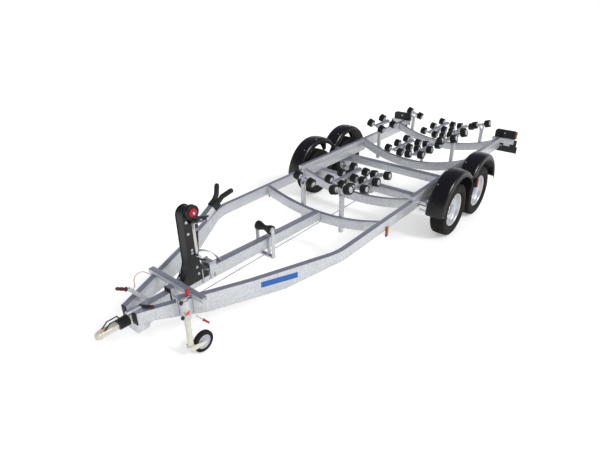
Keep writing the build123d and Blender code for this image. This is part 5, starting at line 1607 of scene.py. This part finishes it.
def make_flaps():
    """Flexible flaps with their outer top corner cut off."""
    low, high = FLAP_LOW.z, FLAP_HIGH.z
    outer = FLAP_HIGH.x + FLAP_GROWTH
    outline = ((FLAP_INNER, low), (outer, low), (outer, low + 0.088), (outer - 0.074, low + 0.136),
               (outer - 0.088, high), (FLAP_INNER, high))
    bm = bmesh.new()
    for _, side in SIDES:
        add_prism(bm, outline, Y_AXIS * (FLAP_LOW.y + 0.0008), X_AXIS * side, Z_AXIS, Y_AXIS * FLAP_SHEET)
    round_edges(bm, 0.0008)
    make_piece("rubber_flaps", bm, "soft", "chassis", ("splash_flaps",))


def make_markers():
    """Side markers: an amber lens and a brown shade with rounded edges on a black backing."""
    lens, backing, brown = bmesh.new(), bmesh.new(), bmesh.new()
    for _, side in SIDES:
        for x, station, z, thick, depth in MARKERS:
            front, back = y_at(station), y_at(station + MARKER_LENGTH)
            split, top = front + MARKER_LENGTH * MARKER_SPLIT, z + MARKER_HEIGHT
            add_sided_block(backing, (x, front, z), (x + thick, back, top), side)
            add_sided_block(lens, (x + thick, split, z + MARKER_RIM),
                            (x + depth, back - 0.002, top - MARKER_RIM), side)
            add_sided_block(brown, (x + thick, front + 0.002, z + MARKER_RIM),
                            (x + depth - 0.002, split, top - MARKER_RIM), side)
    for bm in (lens, brown):
        round_edges(bm, 0.0025)
    make_piece("marker_lenses", lens, "amber", "chassis", ("marker_lamps",))
    make_piece("marker_shades", brown, "brown", "chassis")
    make_piece("marker_backings", backing, "soft", "chassis")


# ---------------------------------------------------------------- operators
class DressOperator:
    """Shared settings of the trailer's operators."""
    bl_options = {"REGISTER", "UNDO"}


class TRAILER_OT_stage(DressOperator, bpy.types.Operator):
    """Set up the camera, the world, the soft light, the floor and the finishes"""
    bl_idname = "trailer.stage"
    bl_label = "Stage"

    def execute(self, context):
        make_camera()
        make_world()
        make_lights()
        make_floor()
        make_finishes(context.scene.trailer_colours)
        context.scene.view_settings.view_transform = "Standard"
        return {"FINISHED"}


class TRAILER_OT_cable(DressOperator, bpy.types.Operator):
    """Lay the breakaway cable"""
    bl_idname = "trailer.cable"
    bl_label = "Breakaway Cable"

    def execute(self, context):
        make_cable()
        return {"FINISHED"}


class TRAILER_OT_frame(DressOperator, bpy.types.Operator):
    """Round the folded edges of the steel frame and give every node its finish"""
    bl_idname = "trailer.frame"
    bl_label = "Steel Frame"

    def execute(self, context):
        for row in SOFTENED:
            soften_node(*row)
        for node, finish in PLAIN_NODES:
            paint_over(frame["nodes"][node], finish)
        return {"FINISHED"}


class TRAILER_OT_wheels(DressOperator, bpy.types.Operator):
    """Build the four road wheels"""
    bl_idname = "trailer.wheels"
    bl_label = "Road Wheels"

    def execute(self, context):
        for label, side in SIDES:
            for place in ("front", "rear"):
                body = f"{place}_wheel_{label}"
                make_tyre(f"{place}_tyre_{label}", body)
                make_rim(f"{place}_rim_{label}", body, side)
        return {"FINISHED"}


class TRAILER_OT_fenders(DressOperator, bpy.types.Operator):
    """Mould the tandem fenders and bolt them on"""
    bl_idname = "trailer.fenders"
    bl_label = "Fenders"

    def execute(self, context):
        make_fenders()
        make_fender_bolts()
        make_fender_brackets()
        return {"FINISHED"}


class TRAILER_OT_rollers(DressOperator, bpy.types.Operator):
    """Build the rocking cradles, roller pairs and the keel roller"""
    bl_idname = "trailer.rollers"
    bl_label = "Rollers"

    def execute(self, context):
        make_all_cradles()
        make_pairs()
        make_keel_roller()
        return {"FINISHED"}


class TRAILER_OT_post(DressOperator, bpy.types.Operator):
    """Build the winch post with its bolts, the winch and the strap"""
    bl_idname = "trailer.post"
    bl_label = "Winch Post"

    def execute(self, context):
        make_post()
        make_post_fittings()
        make_winch()
        make_strap_fittings()
        make_strap()
        return {"FINISHED"}


class TRAILER_OT_coupling(DressOperator, bpy.types.Operator):
    """Build the bellows, the hand levers and their grips"""
    bl_idname = "trailer.coupling"
    bl_label = "Coupling"

    def execute(self, context):
        make_bellows()
        make_levers()
        return {"FINISHED"}


class TRAILER_OT_jockey(DressOperator, bpy.types.Operator):
    """Build the jockey wheel with its tube, crank and clamp"""
    bl_idname = "trailer.jockey"
    bl_label = "Jockey Wheel"

    def execute(self, context):
        make_jockey_tube()
        make_jockey_clamp()
        make_jockey_wheel()
        return {"FINISHED"}


class TRAILER_OT_lamps(DressOperator, bpy.types.Operator):
    """Fit the lamps, side markers and flaps"""
    bl_idname = "trailer.lamps"
    bl_label = "Lamps and Flaps"

    def execute(self, context):
        make_lamps()
        make_flaps()
        make_markers()
        return {"FINISHED"}


class TRAILER_PT_panel(bpy.types.Panel):
    """The dressing steps of the boat trailer"""
    bl_idname = "TRAILER_PT_panel"
    bl_label = "Boat Trailer"
    bl_space_type = "VIEW_3D"
    bl_region_type = "UI"
    bl_category = "Trailer"

    def draw(self, context):
        layout = self.layout
        for operator in OPERATORS:
            layout.operator(operator.bl_idname)
        for group in (context.scene.trailer_sizes, context.scene.trailer_colours):
            for name in group.__annotations__:
                layout.prop(group, name)


OPERATORS = (
    TRAILER_OT_stage,
    TRAILER_OT_cable,
    TRAILER_OT_frame,
    TRAILER_OT_wheels,
    TRAILER_OT_fenders,
    TRAILER_OT_rollers,
    TRAILER_OT_post,
    TRAILER_OT_coupling,
    TRAILER_OT_jockey,
    TRAILER_OT_lamps,
)
CLASSES = (TrailerSizes, TrailerColours) + OPERATORS + (TRAILER_PT_panel,)


def register():
    for cls in CLASSES:
        bpy.utils.register_class(cls)
    bpy.types.Scene.trailer_sizes = bpy.props.PointerProperty(type=TrailerSizes)
    bpy.types.Scene.trailer_colours = bpy.props.PointerProperty(type=TrailerColours)


def unregister():
    del bpy.types.Scene.trailer_colours
    del bpy.types.Scene.trailer_sizes
    for cls in reversed(CLASSES):
        bpy.utils.unregister_class(cls)


def main():
    register()
    for operator in OPERATORS:
        group, name = operator.bl_idname.split(".")
        getattr(getattr(bpy.ops, group), name)()


if __name__ == "__main__":
    main()
